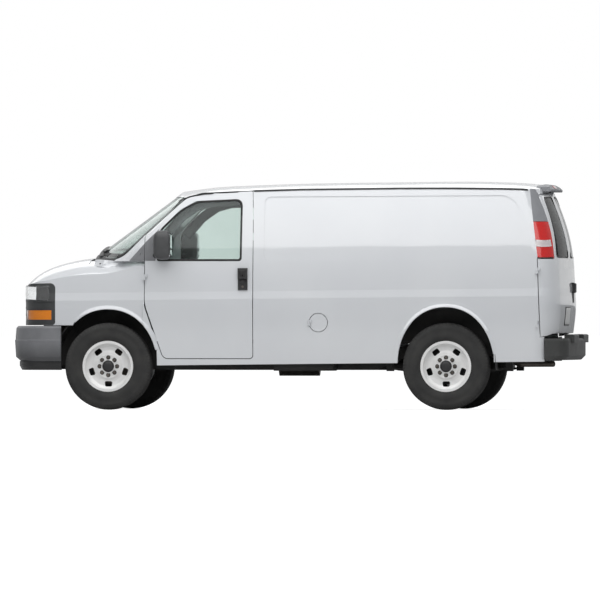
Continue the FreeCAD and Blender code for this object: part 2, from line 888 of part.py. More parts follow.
def hinge_parts(axis_x, axis_y, level, way, inward):
    """One barrel hinge: the carrier's pin and lug, the leaf's ring and lug, and both pockets.

    way is +1 where the moving panel lies behind the axis; inward points to the van's middle.
    """
    upright = vector(0.0, 0.0, 1.0)
    foot = vector(axis_x, axis_y, level - hinge_height)
    pin = cylinder(foot, upright, hinge_pin_radius, hinge_height * 2)
    socket = cylinder(foot, upright, hinge_radius, hinge_height - hinge_pin_radius / 2)
    reach = hinge_radius * 4
    width = hinge_radius * 1.4
    y_near = axis_y
    y_far = axis_y + inward * reach
    low_y = min(y_near, y_far)
    high_y = max(y_near, y_far)
    carrier_x = (axis_x - way * hinge_radius * 2.5, axis_x)
    leaf_x = (axis_x, axis_x + way * hinge_radius * 2.5)
    top = level + hinge_height
    carrier_lug = box(min(carrier_x), max(carrier_x), low_y, high_y, level - hinge_height,
                      level - hinge_pin_radius / 2)
    ring = cylinder(vector(axis_x, axis_y, level), upright, hinge_radius, hinge_height)
    leaf_lug = box(min(leaf_x), max(leaf_x), low_y, high_y, level, top)
    bore = cylinder(vector(axis_x, axis_y, level - overrun), upright, hinge_pin_radius + seat_gap,
                    overrun + hinge_height * 2)
    carrier = fuse_all([pin, socket, carrier_lug])
    leaf = ring.fuse(leaf_lug).cut(bore)
    pocket = cylinder(vector(axis_x, axis_y, level - hinge_height - hinge_pin_radius), upright,
                      hinge_radius + hinge_pin_radius, hinge_height * 2 + hinge_pin_radius * 2)
    return carrier, leaf, pocket


def add_hinges(carrier, leaf, axis_x, axis_y, levels, way, inward):
    """Both panels with pockets cut and hinge halves joined on."""
    for level in levels:
        carrier_part, leaf_part, pocket = hinge_parts(axis_x, axis_y, level, way, inward)
        carrier = carrier.cut(pocket).cut(leaf_part)
        leaf = leaf.cut(pocket).cut(carrier_part)
        carrier = carrier.fuse(carrier_part)
        leaf = leaf.fuse(leaf_part)
    return largest_solid(carrier), largest_solid(leaf)


def build_skins():
    cabin = cabin_solid(0.0, 0.0, 0.0, sill_level)
    cabin_room = cabin_solid(wall, wall, roof_wall, sill_level - overrun)
    nose = nose_solid(0.0, sill_level)
    nose_room = nose_solid(nose_wall, sill_level - overrun)
    return cabin.cut(cabin_room), nose.cut(nose_room)


def left_half(shape):
    return shape.common(box(-body_width * 2, body_width * 2, -body_width, -centre_gap, 0.0, body_width * 2))


def build_cabin_panels(shell):
    """Roof, doors, glass, lamps and sides of the driver's side, cut from the cab's shell."""
    side = body_width
    left = left_half(shell)
    glass_outer = upper_loft(cabin_section, cabin_front_x, glass_sink)
    glass_inner = upper_loft(cabin_section, cabin_front_x, glass_sink + glass_thickness)
    shield = windshield_prism(0.0)
    rear_cut = rear_door_keep(shut_gap)
    corner_low_z = rear_shelf_z + shut_gap
    corner_top = corner_keep(rear_lamp_top_z, side * 2, -side, -header_half)
    above = roof_keep()
    header = box(rear_seam_top_x - overrun * 3, side * 2, -header_half, header_half, header_low_z, side * 2)

    # Roof with the header over the rear doors
    roof_space = above.fuse(header).cut(shield).cut(corner_top.fuse(mirrored(corner_top)))
    roof = shell.common(roof_space).cut(rear_cut)

    # Rear door
    rear_door = left.common(rear_door_keep(0.0))
    rear_door = rear_door.common(box(0.0, side * 2, -side, -shut_gap / 2, 0.0, side * 2))
    rear_door = rear_door.cut(rear_window_prism(-1.0, 0.0))
    rear_glass = build_glass(rear_window_prism(-1.0, -seat_gap), glass_outer, glass_inner)

    # Front door
    door_reach = door_rear_x - door_front_x + hinge_lead + shut_gap
    door_space = front_door_prism(0.0, -side, 0.0).common(door_swing(door_reach - swing_gap))
    door = left.common(door_space).cut(front_window_prism(0.0, -side, 0.0))
    door_glass = build_glass(front_window_prism(-seat_gap, -side, 0.0), glass_outer, glass_inner)

    # Windshield
    shield_glass = windshield_prism(-seat_gap).common(tipped(windshield_cutter(glass_sink)))
    beside = front_door_prism(shut_gap, -side, 0.0)
    shield_glass = shield_glass.cut(beside).cut(mirrored(beside))
    shield_glass = shield_glass.cut(tipped(windshield_cutter(glass_sink + glass_thickness)))

    # What is left of the side, from the pillar of the windshield to the rear corner
    rest = left.cut(above).cut(header).cut(rear_cut).cut(shield)
    rest = rest.cut(front_door_prism(shut_gap, -side, 0.0).common(door_swing(door_reach)))
    split_x = door_front_x + overrun
    pillar_top = box(-side * 2, split_x + door_pillar_top_x - door_front_x, -side, 0.0, door_belt_z, side * 2)
    pillar = rest.common(pillar_top)
    middle = box(-side * 2, split_x, -cowl_edge_half, 0.0, 0.0, windshield_low_z + windshield_arch * 2)
    hood_space = box(-side * 2, hood_rear_x + hood_shut_gap, -hood_rear_half - shut_gap, 0.0, 0.0, side)
    cowl = pillar.common(middle).cut(hood_space)
    pillar = pillar.cut(middle)
    quarter = rest.cut(pillar_top)
    quarter = quarter.cut(arch_prism(rear_axle_x, rear_arch_half, rear_arch_top_z, -side, 0.0))
    quarter = quarter.cut(arch_prism(front_axle_x, front_arch_half, front_arch_top_z, -side, 0.0))
    quarter = quarter.cut(box(rear_bumper_front_x - shut_gap, side * 2, -side, 0.0, 0.0, rear_shelf_cut_z))
    lamp = quarter.common(corner_keep(corner_low_z, rear_lamp_top_z, -side, 0.0))
    trim = left.common(corner_keep(rear_lamp_top_z + shut_gap / 2, side * 2, -side,
                                   -header_half)).cut(rear_cut)
    quarter = quarter.cut(corner_keep(corner_low_z, side * 2, -side, 0.0))
    return {
        "roof": largest_solid(roof),
        "door": largest_solid(door),
        "door_glass": largest_solid(door_glass),
        "rear_door": largest_solid(rear_door),
        "rear_glass": largest_solid(rear_glass),
        "windshield": largest_solid(shield_glass),
        "pillar": largest_solid(pillar),
        "cowl": largest_solid(cowl),
        "quarter": largest_solid(quarter),
        "lamp": largest_solid(lamp),
        "trim": largest_solid(trim),
    }


def press_panel(quarter):
    """The long pressed panel of the body side."""
    points = [
        (panel_front_x, panel_low_z),
        (panel_front_x, panel_high_z),
        (panel_rear_x - panel_slant, panel_high_z + panel_rise),
        (panel_rear_x, panel_low_z + panel_rise),
    ]
    radii = [door_round, door_round, door_round * 3, door_round]
    press = side_prism(points, radii, -body_width, -roof_edge_half / 2)
    return quarter.cut(press.cut(upper_loft(cabin_section, cabin_front_x, panel_depth)))


def fuel_flap_cut(quarter):
    """Round fuel flap cut out of the body side."""
    start = vector(flap_x, -body_width, flap_z)
    inner = cylinder(start, vector(0.0, 1.0, 0.0), flap_radius, body_width)
    outer = cylinder(start, vector(0.0, 1.0, 0.0), flap_radius + flap_gap, body_width)
    flap = largest_solid(quarter.common(inner))
    cup = box(flap_x - flap_radius * 2, flap_x + flap_radius * 2, -belly_half + flap_thickness,
              0.0, flap_z - flap_radius * 2, flap_z + flap_radius * 2)
    return quarter.cut(outer), flap.cut(cup)


def open_grille(grille):
    """Rows and columns of openings, which leave the bars and posts of the grille."""
    low_z = front_bumper_top_z + shut_gap + grille_border
    high_z = hood_low_z - shut_gap - grille_border
    row_pitch = (high_z - low_z + grille_bar) / grille_rows
    column_pitch = (grille_half * 2 - grille_border * 2 + grille_post) / grille_columns
    for row in range(grille_rows):
        foot_z = low_z + row * row_pitch
        for column in range(grille_columns):
            near_y = grille_border - grille_half + column * column_pitch
            opening = box(nose_x - overrun, nose_x + nose_corner + overrun, near_y,
                          near_y + column_pitch - grille_post, foot_z, foot_z + row_pitch - grille_bar)
            grille = grille.cut(opening)
    return grille


def build_nose_panels(nose_shell):
    """Hood, fender and lamps of the driver's side, cut from the nose's shell."""
    side = body_width
    hood_front = nose_x - overrun
    hood_points = [
        (hood_front, -hood_front_half),
        (nose_x + nose_corner, -hood_front_half - shut_gap),
        (hood_rear_x - hood_square_length, -hood_rear_half + shut_gap),
        (hood_rear_x, -hood_rear_half),
        (hood_rear_x, hood_rear_half),
        (hood_rear_x - hood_square_length, hood_rear_half - shut_gap),
        (nose_x + nose_corner, hood_front_half + shut_gap),
        (hood_front, hood_front_half),
    ]
    hood_space = plan_prism(hood_points, 0, hood_low_z, side)
    hood_wide = [(x - shut_gap if x == hood_front else x + (shut_gap if x == hood_rear_x else 0.0),
                  y + math.copysign(shut_gap, y)) for x, y in hood_points]
    hood_cut = plan_prism(hood_wide, 0, hood_low_z - shut_gap, side)
    hood = largest_solid(nose_shell.common(hood_space))

    left = left_half(nose_shell).cut(hood_cut)
    below = box(nose_x - side, front_bumper_side_x + side / 10, -side, 0.0, 0.0,
                front_bumper_top_z + shut_gap)
    middle = box(nose_x - side, side, -grille_half - seat_gap, 0.0, 0.0, side * 2)
    fender = left.cut(below).cut(middle)
    fender = fender.cut(box(fender_rear_limit, side, -fender_inner_half, 0.0, 0.0, side * 2))
    fender = fender.cut(arch_prism(front_axle_x, front_arch_half, front_arch_top_z, -side, 0.0))
    lamp_points = [
        (lamp_rear_x, lamp_low_z),
        (lamp_rear_x, lamp_high_z),
        (nose_x - overrun, lamp_high_z - lamp_slope),
        (nose_x - overrun, lamp_low_z),
    ]
    lamp_radii = [door_round / 2, door_round * 0.8, 0, 0]
    lamp_space = side_prism(lamp_points, lamp_radii, -side, -grille_half)
    lamp_cut = side_prism(lamp_points, lamp_radii, -side, -grille_half, seat_gap)
    lamp = fender.common(lamp_space)
    fender = fender.cut(lamp_cut)
    turn_space = box(nose_x - overrun, lamp_rear_x - turn_inset, -side, -grille_half - turn_inset,
                     turn_low_z, turn_high_z)
    turn = lamp.common(turn_space)
    lamp = lamp.cut(turn_space)
    front_door_clear = front_door_prism(shut_gap, -side, 0.0)
    fender = fender.cut(front_door_clear)
    grille = nose_shell.common(box(nose_x - side, nose_x + nose_corner, -grille_half, grille_half,
                                   front_bumper_top_z + shut_gap, hood_low_z - shut_gap))
    return {
        "hood": hood,
        "fender": largest_solid(fender),
        "lamp": largest_solid(lamp),
        "turn": largest_solid(turn),
        "grille": largest_solid(open_grille(largest_solid(grille))),
    }


def build_frame():
    """Two rails that rise over the rear axle, with cross members and body mounts."""
    top = rail_low_z + rail_depth
    raised = top + kick_up
    front_x = front_axle_x - rail_front_reach
    rear_x = rear_axle_x + rail_rear_reach
    step = kick_up * 2
    points = [
        (front_x, rail_low_z + rail_front_rise),
        (front_axle_x - step, rail_low_z + rail_front_rise),
        (front_axle_x + step * 2, rail_low_z),
        (rear_axle_x - step * 3, rail_low_z),
        (rear_axle_x - step * 1.6, raised - rail_depth + rail_front_rise / 2),
        (rear_axle_x + step * 1.6, raised - rail_depth + rail_front_rise / 2),
        (rear_axle_x + step * 2.6, top - rail_front_rise),
        (rear_x, top - rail_front_rise),
        (rear_x, raised),
        (rear_axle_x - step * 1.6, raised),
        (rear_axle_x - step * 3, top),
        (front_axle_x + step * 2, top),
        (front_axle_x - step, top + rail_front_rise),
        (front_x, top + rail_front_rise),
    ]
    rail = side_prism(points, rail_front_rise / 2, -rail_outer, -rail_inner)
    shapes = [rail, mirrored(rail)]
    for place_x in cross_member_places:
        low = cross_member_low_z + (kick_up if place_x > rear_axle_x - step * 2 else 0.0)
        shapes.append(box(place_x - cross_member_width / 2, place_x + cross_member_width / 2,
                          -rail_inner - seat_gap, rail_inner + seat_gap, low, low + cross_member_height))
    for place_x in body_mount_places:
        arm = box(place_x - cross_member_width / 2, place_x + cross_member_width / 2, -body_mount_half,
                  -rail_outer + seat_gap, top - overrun, top)
        pad = cylinder(vector(place_x, -body_mount_half + cross_member_width / 2, top - seat_gap),
                       vector(0.0, 0.0, 1.0), cross_member_width / 2, floor_low_z - top)
        mount = arm.fuse(pad)
        shapes.append(mount)
        shapes.append(mirrored(mount))
    return fuse_all(shapes)


def build_floor():
    """Flat floor with a box over each rear wheel."""
    half = side_half(floor_low_z) - wall - floor_side_gap
    high_z = floor_low_z + floor_thickness
    main_plate = box(firewall_foot_x, rear_bumper_front_x - shut_gap, -half, half, floor_low_z, high_z)
    tail_plate = box(rear_bumper_front_x - overrun, rear_bumper_front_x + floor_tail, -floor_tail_half,
                     floor_tail_half, floor_low_z, high_z)
    plate = main_plate.fuse(tail_plate)
    inside = cabin_section(floor_low_z, firewall_foot_x - overrun, wall + floor_side_gap * 5)
    plate = plate.common(Part.Face(inside).extrude(vector(0.0, 0.0, body_width)))
    axle = vector(rear_axle_x, 0.0, tyre_radius)
    across = vector(0.0, 1.0, 0.0)
    inner_y = wheelhouse_inner
    radius = liner_radius
    shapes = [plate]
    above = box(rear_axle_x - radius * 2, rear_axle_x + radius * 2, -half, half, floor_low_z, body_width)
    holes = []
    for sign in (-1.0, 1.0):
        low_y = -half if sign < 0 else inner_y
        outer = cylinder(vector(axle.x, low_y, axle.z), across, radius + floor_thickness / 2, half - inner_y)
        shapes.append(outer.common(above))
        hole_y = -half - overrun if sign < 0 else inner_y + floor_thickness / 2
        holes.append(cylinder(vector(axle.x, hole_y, axle.z), across, radius,
                              half - inner_y + overrun - floor_thickness / 2))
    floor = fuse_all(shapes)
    for hole in holes:
        floor = floor.cut(hole)
    return largest_solid(floor)


def build_firewall():
    """Toe board, firewall and the plenum under the cowl."""
    top_z = floor_low_z + floor_thickness
    thickness = firewall_thickness
    points = [
        (firewall_foot_x, floor_low_z),
        (firewall_foot_x - seat_gap, top_z),
        (toe_x, toe_z),
        (firewall_x, firewall_z),
        (cowl_x, cowl_z),
        (cowl_x - thickness, cowl_z),
        (firewall_x - thickness, firewall_z - thickness / 2),
        (toe_x - thickness, toe_z - thickness / 2),
        (firewall_foot_x - thickness, floor_low_z),
    ]
    sheet = side_prism(points, 0, -firewall_half, firewall_half)
    plenum = box(cowl_x - thickness, cowl_rear_x, -cowl_half, cowl_half, cowl_z - thickness, cowl_z)
    return sheet.fuse(plenum)


def hood_hinges(hood, cowl):
    """Pins on the cowl and ears on the hood, in the gap between them."""
    axis = vector(hood_rear_x + hood_hinge_back, -hood_hinge_place, hood_hinge_z)
    across = vector(0.0, 1.0, 0.0)
    start = vector(axis.x, axis.y - hood_hinge_half, axis.z)
    pin = cylinder(start, across, hood_hinge_pin_radius, hood_hinge_half * 2)
    ear = cylinder(vector(axis.x, axis.y, axis.z), across, hood_hinge_radius, hood_hinge_half)
    ear = ear.fuse(box(axis.x - hood_hinge_back * 3, axis.x, axis.y, axis.y + hood_hinge_half,
                       axis.z - hood_hinge_radius, axis.z + hood_hinge_radius / 2))
    ear = ear.cut(cylinder(start, across, hood_hinge_pin_radius + seat_gap, hood_hinge_half * 2))
    lug = box(axis.x, axis.x + hood_shut_gap * 2, axis.y - hood_hinge_half, axis.y - seat_gap * 2,
              axis.z - hood_hinge_radius, axis.z + hood_hinge_radius / 2)
    lug = lug.fuse(cylinder(start, across, hood_hinge_radius, hood_hinge_half - seat_gap * 2)).fuse(pin)
    return hood.fuse(ear).fuse(mirrored(ear)), cowl.fuse(lug)


def skin_line(levels, proud):
    """Points (y, z) up the driver's side, outside the skin by the given amount."""
    return [(-side_half(level) - proud, level) for level in levels]


def build_side_handle(x_low):
    """Upright pull handle on the driver's side: a base plate and a grip with room for fingers."""
    levels = [handle_low_z + handle_height * share for share in (0.0, 0.25, 0.5, 0.75, 1.0)]
    base = front_prism(skin_line(levels, handle_plate) + skin_line(reversed(levels), seat_gap), 0,
                       x_low, x_low + handle_width)
    high = levels[2:]
    grip = front_prism(skin_line(high, handle_proud) + skin_line(reversed(high), seat_gap), 0,
                       x_low, x_low + handle_width)
    finger = front_prism(skin_line(high[:2], handle_proud - handle_plate / 2)
                         + skin_line(reversed(high[:2]), handle_plate), 0,
                         x_low + handle_plate, x_low + handle_width - handle_plate)
    cup = finger.copy()
    cup.translate(vector(0.0, 0.0, -handle_plate))
    return tipped(base.fuse(grip).cut(cup))


def build_rear_handle(rear_door):
    """Pull handle of the rear door that opens first, beside the middle."""
    low_z = rear_handle_low_z
    high_z = rear_handle_high_z
    face_x = tail_x - rear_handle_sink
    points = [
        (face_x - overrun, low_z),
        (face_x + handle_plate, low_z),
        (face_x + handle_plate, low_z + handle_width),
        (face_x + handle_proud, low_z + handle_width * 1.1),
        (face_x + handle_proud, high_z - handle_plate),
        (face_x + handle_plate, high_z),
        (face_x - overrun, high_z),
    ]
    handle = side_prism(points, handle_plate / 4, -rear_handle_inner - rear_handle_width, -rear_handle_inner)
    door_space = rear_door.copy()
    door_space.translate(vector(seat_gap, 0.0, 0.0))
    return largest_solid(handle.cut(door_space))


def build_high_lamp(roof):
    """Housing of the high stop lamp, arched over the rear edge of the roof."""
    low_z = high_lamp_low_z
    points = [
        (high_lamp_front_x, low_z),
        (high_lamp_front_x, low_z + high_lamp_height * 0.8),
        (high_lamp_front_x + high_lamp_length * 0.35, low_z + high_lamp_height),
        (high_lamp_front_x + high_lamp_length * 0.7, low_z + high_lamp_height * 0.9),
        (high_lamp_front_x + high_lamp_length, low_z + high_lamp_height * 0.3),
        (high_lamp_front_x + high_lamp_length, low_z),
    ]
    body = side_prism(points, high_lamp_height * 0.15, -high_lamp_half, high_lamp_half)
    crown = [(-high_lamp_half, low_z - overrun)]
    for share in (-1.0, -0.75, -0.5, -0.25, 0.0, 0.25, 0.5, 0.75, 1.0):
        crown.append((share * high_lamp_half, low_z + high_lamp_height - high_lamp_fall * share * share))
    crown.append((high_lamp_half, low_z - overrun))
    body = body.common(front_prism(crown, 0, high_lamp_front_x - overrun, tail_x + overrun))
    roof_space = roof.copy()
    roof_space.translate(vector(seat_gap, 0.0, seat_gap))
    return largest_solid(body.cut(roof_space))


def build_wheel_liners():
    """Inner arches over the front wheels."""
    across = vector(0.0, 1.0, 0.0)
    outer_half = side_half(tyre_radius) - nose_wall - liner_side_gap
    foot = vector(front_axle_x, -outer_half, tyre_radius)
    length = outer_half - rail_outer - seat_gap
    ring = cylinder(foot, across, liner_radius, length)
    hollow = cylinder(vector(foot.x, foot.y - overrun, foot.z), across, liner_radius - liner_thickness,
                      length + overrun - liner_thickness)
    keep = box(front_axle_x - liner_radius, front_axle_x + liner_radius, -outer_half, 0.0, liner_low_z,
               body_width)
    skirt = box(front_axle_x - liner_radius, front_axle_x + liner_radius, -rail_outer - liner_thickness, 0.0,
                rail_low_z + rail_depth + seat_gap, body_width)
    liner = ring.cut(hollow).common(keep.fuse(skirt))
    slot = box(front_axle_x - liner_slot, front_axle_x + liner_slot, -rail_outer - liner_thickness * 3, 0.0,
               0.0, liner_slot_z)
    liner = largest_solid(liner.cut(slot))
    return liner


def build_front_bumper():
    """Moulded bumper: bowed front, corners that wrap back to the wheels, a ledge and a lower lip."""
    front_x = front_axle_x - front_overhang
    levels = [front_bumper_low_z, front_bumper_low_z + overrun, front_bumper_ledge_z - overrun / 4,
              front_bumper_ledge_z, front_bumper_ledge_z + overrun / 8, front_bumper_top_z - overrun / 2,
              front_bumper_top_z]
    backs = [overrun * 1.4, overrun / 4, 0.0, 0.0, overrun / 8, overrun / 3, overrun * 0.8]
    outer_wires = []
    for level, back in zip(levels, backs):
        outer_wires.append(plan_outline(front_bumper_side_x, bumper_half - back / 2, front_x + back,
                                        bumper_half - bumper_taper - back / 2, nose_bow, nose_corner, level))
    outer = Part.makeLoft(outer_wires, True, True)
    hollow_wire = plan_outline(front_bumper_side_x + overrun, bumper_half - bumper_thickness,
                               front_x + bumper_thickness * 1.5,
                               bumper_half - bumper_taper - bumper_thickness,
                               nose_bow, nose_corner - bumper_thickness / 2, front_bumper_low_z - overrun)
    hollow = Part.Face(hollow_wire).extrude(vector(0.0, 0.0, body_width))
    bar = outer.cut(hollow)
    rail_end = front_axle_x - rail_front_reach - seat_gap
    for sign in (-1.0, 1.0):
        near_y = (sign * (rail_inner + bracket_inset), sign * (rail_outer - bracket_inset))
        bar = bar.fuse(box(front_x + bumper_thickness * 1.2, rail_end, min(near_y), max(near_y),
                           rail_low_z + rail_front_rise * 2.5, rail_low_z + rail_depth))
    return largest_solid(bar)


def build_front_valance():
    front_x = front_axle_x - front_overhang + valance_set_back
    wires = []
    for level, back in ((valance_low_z, valance_set_back / 2), (valance_low_z + overrun, 0.0),
                        (front_bumper_low_z - seat_gap, 0.0)):
        wires.append(plan_outline(front_bumper_side_x, bumper_half - valance_set_back - back / 2,
                                  front_x + back,
                                  bumper_half - bumper_taper - valance_set_back - back / 2, nose_bow,
                                  nose_corner - valance_set_back, level))
    outer = Part.makeLoft(wires, True, True)
    hollow_wire = plan_outline(front_bumper_side_x + overrun, bumper_half - valance_set_back * 2,
                               front_x + valance_set_back * 2,
                               bumper_half - bumper_taper - valance_set_back * 2,
                               nose_bow, nose_corner - valance_set_back * 1.5, valance_low_z - overrun)
    hollow = Part.Face(hollow_wire).extrude(vector(0.0, 0.0, body_width))
    return largest_solid(outer.cut(hollow))


def build_rear_bumper():
    """Step bumper: bowed bar round the corners with a notched step in the middle."""
    rear_x = rear_axle_x + rear_overhang
    levels = [rear_bumper_low_z, rear_bumper_low_z + overrun, rear_bumper_side_z - overrun / 2,
              rear_bumper_side_z]
    backs = [overrun, 0.0, 0.0, overrun / 4]
    wires = []
    for level, back in zip(levels, backs):
        wires.append(plan_outline(rear_bumper_front_x, rear_bumper_half - back / 4, rear_x - back,
                                  rear_bumper_half - back / 4, tail_bow, rear_bumper_corner, level))
    outer = Part.makeLoft(wires, True, True)
    hollow_wire = plan_outline(rear_bumper_front_x - overrun, rear_bumper_half - bumper_thickness,
                               rear_x - rear_bumper_depth, rear_bumper_half - bumper_thickness,
                               tail_bow, rear_bumper_corner - bumper_thickness / 2,
                               rear_bumper_low_z - overrun)
    hollow = Part.Face(hollow_wire).extrude(vector(0.0, 0.0, body_width))
    bar = outer.cut(hollow)
    ends = []
    for sign in (-1.0, 1.0):
        low_y = sign * rear_step_half if sign > 0 else -rear_pad_half
        points = [
            (rear_x - rear_bumper_depth * 0.8, rear_bumper_side_z - overrun),
            (rear_x - overrun / 8, rear_bumper_side_z - overrun),
            (rear_x - overrun / 8, rear_bumper_top_z - overrun / 4),
            (rear_x - overrun / 2, rear_bumper_top_z),
            (rear_x - rear_bumper_depth * 0.8, rear_bumper_top_z),
        ]
        ends.append(side_prism(points, 0, low_y, low_y + rear_pad_half - rear_step_half))
    ball_hole = cylinder(vector(ball_hole_x, 0.0, rear_bumper_low_z - overrun), vector(0.0, 0.0, 1.0),
                         ball_hole_radius, body_width)
    brackets = []
    rail_end = rear_axle_x + rail_rear_reach + seat_gap
    for sign in (-1.0, 1.0):
        near_y = (sign * (rail_inner + bracket_inset), sign * (rail_outer - bracket_inset))
        brackets.append(box(rail_end, rear_x - rear_bumper_depth * 0.8, min(near_y), max(near_y),
                            rail_low_z + rail_depth, rail_low_z + rail_depth + kick_up / 2))
    return fuse_all([bar] + ends + brackets).cut(ball_hole)


def build_tyre(centre, width):
    """Tyre with rounded shoulders and bulged walls, turned round the Y axis."""
    half = width / 2
    tread = half * 0.78
    seat = vector(0.0, rim_half_width - rim_metal * 2.5 - seat_gap, rim_seat_radius)
    points = [
        (rim_radius + seat_gap, rim_half_width - rim_metal * 1.5 - seat_gap),
        (rim_radius + rim_metal * 2, half * 0.91),
        (rim_seat_radius + (tyre_radius - rim_seat_radius) * 0.45, half),
        (rim_seat_radius + (tyre_radius - rim_seat_radius) * 0.80, half * 0.93),
        (tyre_radius - tyre_crown, tread),
    ]
    right = [vector(0.0, y, r) for r, y in points]
    left = [vector(0.0, -y, r) for r, y in reversed(points)]
    wall_curve = Part.BSplineCurve()
    wall_curve.interpolate(right)
    other_curve = Part.BSplineCurve()
    other_curve.interpolate(left)
    tread_arc = Part.Arc(right[-1], vector(0.0, 0.0, tyre_radius), left[0]).toShape()
    other_seat = vector(0.0, -seat.y, seat.z)
    wire = Part.Wire([Part.makeLine(seat, right[0]), wall_curve.toShape(), tread_arc, other_curve.toShape(),
                      Part.makeLine(left[-1], other_seat), Part.makeLine(other_seat, seat)])
    tyre = Part.Face(wire).revolve(vector(0.0, 0.0, 0.0), vector(0.0, 1.0, 0.0), 360)
    tyre.translate(centre)
    return tyre


def build_rim(centre, outward):
    """Pressed steel wheel: rim, dished disc with hand holes, eight lugs and a centre cap."""
    well = rim_seat_radius - rim_clear
    section = [
        (rim_radius, rim_half_width),
        (rim_radius, rim_half_width - rim_metal * 1.5),
        (well, rim_half_width - rim_metal * 2.5),
        (well, rim_half_width * 0.62),
        (well - rim_drop, rim_half_width * 0.42),
        (well - rim_drop, -rim_half_width * 0.2),
        (well, -rim_half_width * 0.45),
        (well, -rim_half_width + rim_metal * 2.5),
        (rim_radius, -rim_half_width + rim_metal * 1.5),
        (rim_radius, -rim_half_width),
        (well - rim_metal, -rim_half_width),
        (well - rim_metal, -rim_half_width * 0.5),
        (well - rim_drop - rim_metal, -rim_half_width * 0.22),
        (well - rim_drop - rim_metal, rim_half_width * 0.45),
        (well - rim_metal, rim_half_width * 0.65),
        (well - rim_metal, rim_half_width),
    ]
    ring = Part.Face(Part.makePolygon([vector(0.0, y, r) for r, y in section + section[:1]]))
    ring = ring.revolve(vector(0.0, 0.0, 0.0), vector(0.0, 1.0, 0.0), 360)
    dish_places = [(radius, depth) for radius, depth in zip(disc_radii, disc_depths)]
    front_row = [vector(0.0, depth, radius) for radius, depth in dish_places]
    back_row = [vector(0.0, depth - rim_metal, radius) for radius, depth in reversed(dish_places)]
    disc = Part.Face(Part.makePolygon(front_row + back_row + front_row[:1]))
    disc = disc.revolve(vector(0.0, 0.0, 0.0), vector(0.0, 1.0, 0.0), 360)
    holes = []
    for index in range(5):
        hole = rounded_wire([(-hand_hole_length / 2, hand_hole_place - hand_hole_width / 2),
                             (hand_hole_length / 2, hand_hole_place - hand_hole_width / 2),
                             (hand_hole_length * 0.42, hand_hole_place + hand_hole_width / 2),
                             (-hand_hole_length * 0.42, hand_hole_place + hand_hole_width / 2)],
                            hand_hole_width * 0.3, side_place)
        cutter = Part.Face(hole).extrude(vector(0.0, rim_half_width * 2, 0.0))
        cutter.rotate(vector(0.0, 0.0, 0.0), vector(0.0, 1.0, 0.0), 180.0 + index * 72.0)
        holes.append(cutter)
    disc = disc.cut(holes[0].fuse(holes[1:]))
    shapes = [ring, disc]
    flange_face = disc_depths[-1]
    for index in range(8):
        angle = index * math.pi / 4
        start = vector(math.sin(angle) * bolt_circle / 2, flange_face - rim_metal,
                       math.cos(angle) * bolt_circle / 2)
        shapes.append(cylinder(start, vector(0.0, 1.0, 0.0), lug_radius, lug_height + rim_metal))
    cap_start = vector(0.0, flange_face - rim_metal, 0.0)
    shapes.append(cylinder(cap_start, vector(0.0, 1.0, 0.0), cap_ring_radius, cap_ring_height + rim_metal))
    shapes.append(cylinder(cap_start, vector(0.0, 1.0, 0.0), cap_radius, cap_height + rim_metal))
    rim = shapes[0].multiFuse(shapes[1:])
    if outward < 0:
        rim = rim.mirror(vector(0.0, 0.0, 0.0), vector(0.0, 1.0, 0.0))
    rim.translate(centre)
    return largest_solid(rim)


def build_knuckle():
    """Left steering knuckle: upright between the ball joints, brake disc and hub."""
    across = vector(0.0, 1.0, 0.0)
    centre_y = -front_track / 2
    flange_y = centre_y - disc_depths[-1] + rim_metal
    upright = box(front_axle_x - kingpin_radius, front_axle_x + kingpin_radius,
                  -kingpin_half - kingpin_radius,
                  -kingpin_half + kingpin_radius, tyre_radius - ball_joint_spread + seat_gap,
                  tyre_radius + ball_joint_spread - seat_gap)
    hub = cylinder(vector(front_axle_x, flange_y + seat_gap, tyre_radius), across, hub_radius,
                   -kingpin_half - flange_y - seat_gap)
    disc = cylinder(vector(front_axle_x, -kingpin_half - kingpin_radius - rim_metal * 3, tyre_radius), across,
                    disc_radius, rim_metal * 3)
    return fuse_all([upright, hub, disc])


def build_front_suspension():
    """Cross member under the engine with upper and lower arms to the ball joints."""
    cross = box(front_axle_x - suspension_half_length, front_axle_x + suspension_half_length,
                -rail_inner + seat_gap,
                rail_inner - seat_gap, suspension_low_z, suspension_low_z + suspension_depth)
    shapes = [cross]
    upper_low_z = tyre_radius + ball_joint_spread
    lower_low_z = tyre_radius - ball_joint_spread - arm_depth
    for sign in (-1.0, 1.0):
        for low, inner in ((lower_low_z, rail_inner - arm_depth), (upper_low_z, rail_outer - arm_depth)):
            arm_points = [
                (front_axle_x - arm_spread, sign * inner),
                (front_axle_x + arm_spread, sign * inner),
                (front_axle_x + kingpin_radius, sign * kingpin_half),
                (front_axle_x - kingpin_radius, sign * kingpin_half),
            ]
            tip = vector(front_axle_x, sign * kingpin_half, low)
            shapes.append(plan_prism(arm_points, 0, low, low + arm_depth))
            shapes.append(cylinder(tip, vector(0.0, 0.0, 1.0), kingpin_radius, arm_depth))
        saddle_y = (sign * rail_inner, sign * (rail_outer - seat_gap))
        shapes.append(box(front_axle_x - arm_spread, front_axle_x + arm_spread, min(saddle_y), max(saddle_y),
                          upper_low_z - saddle_drop, upper_low_z + arm_depth))
    return shapes[0].multiFuse(shapes[1:])


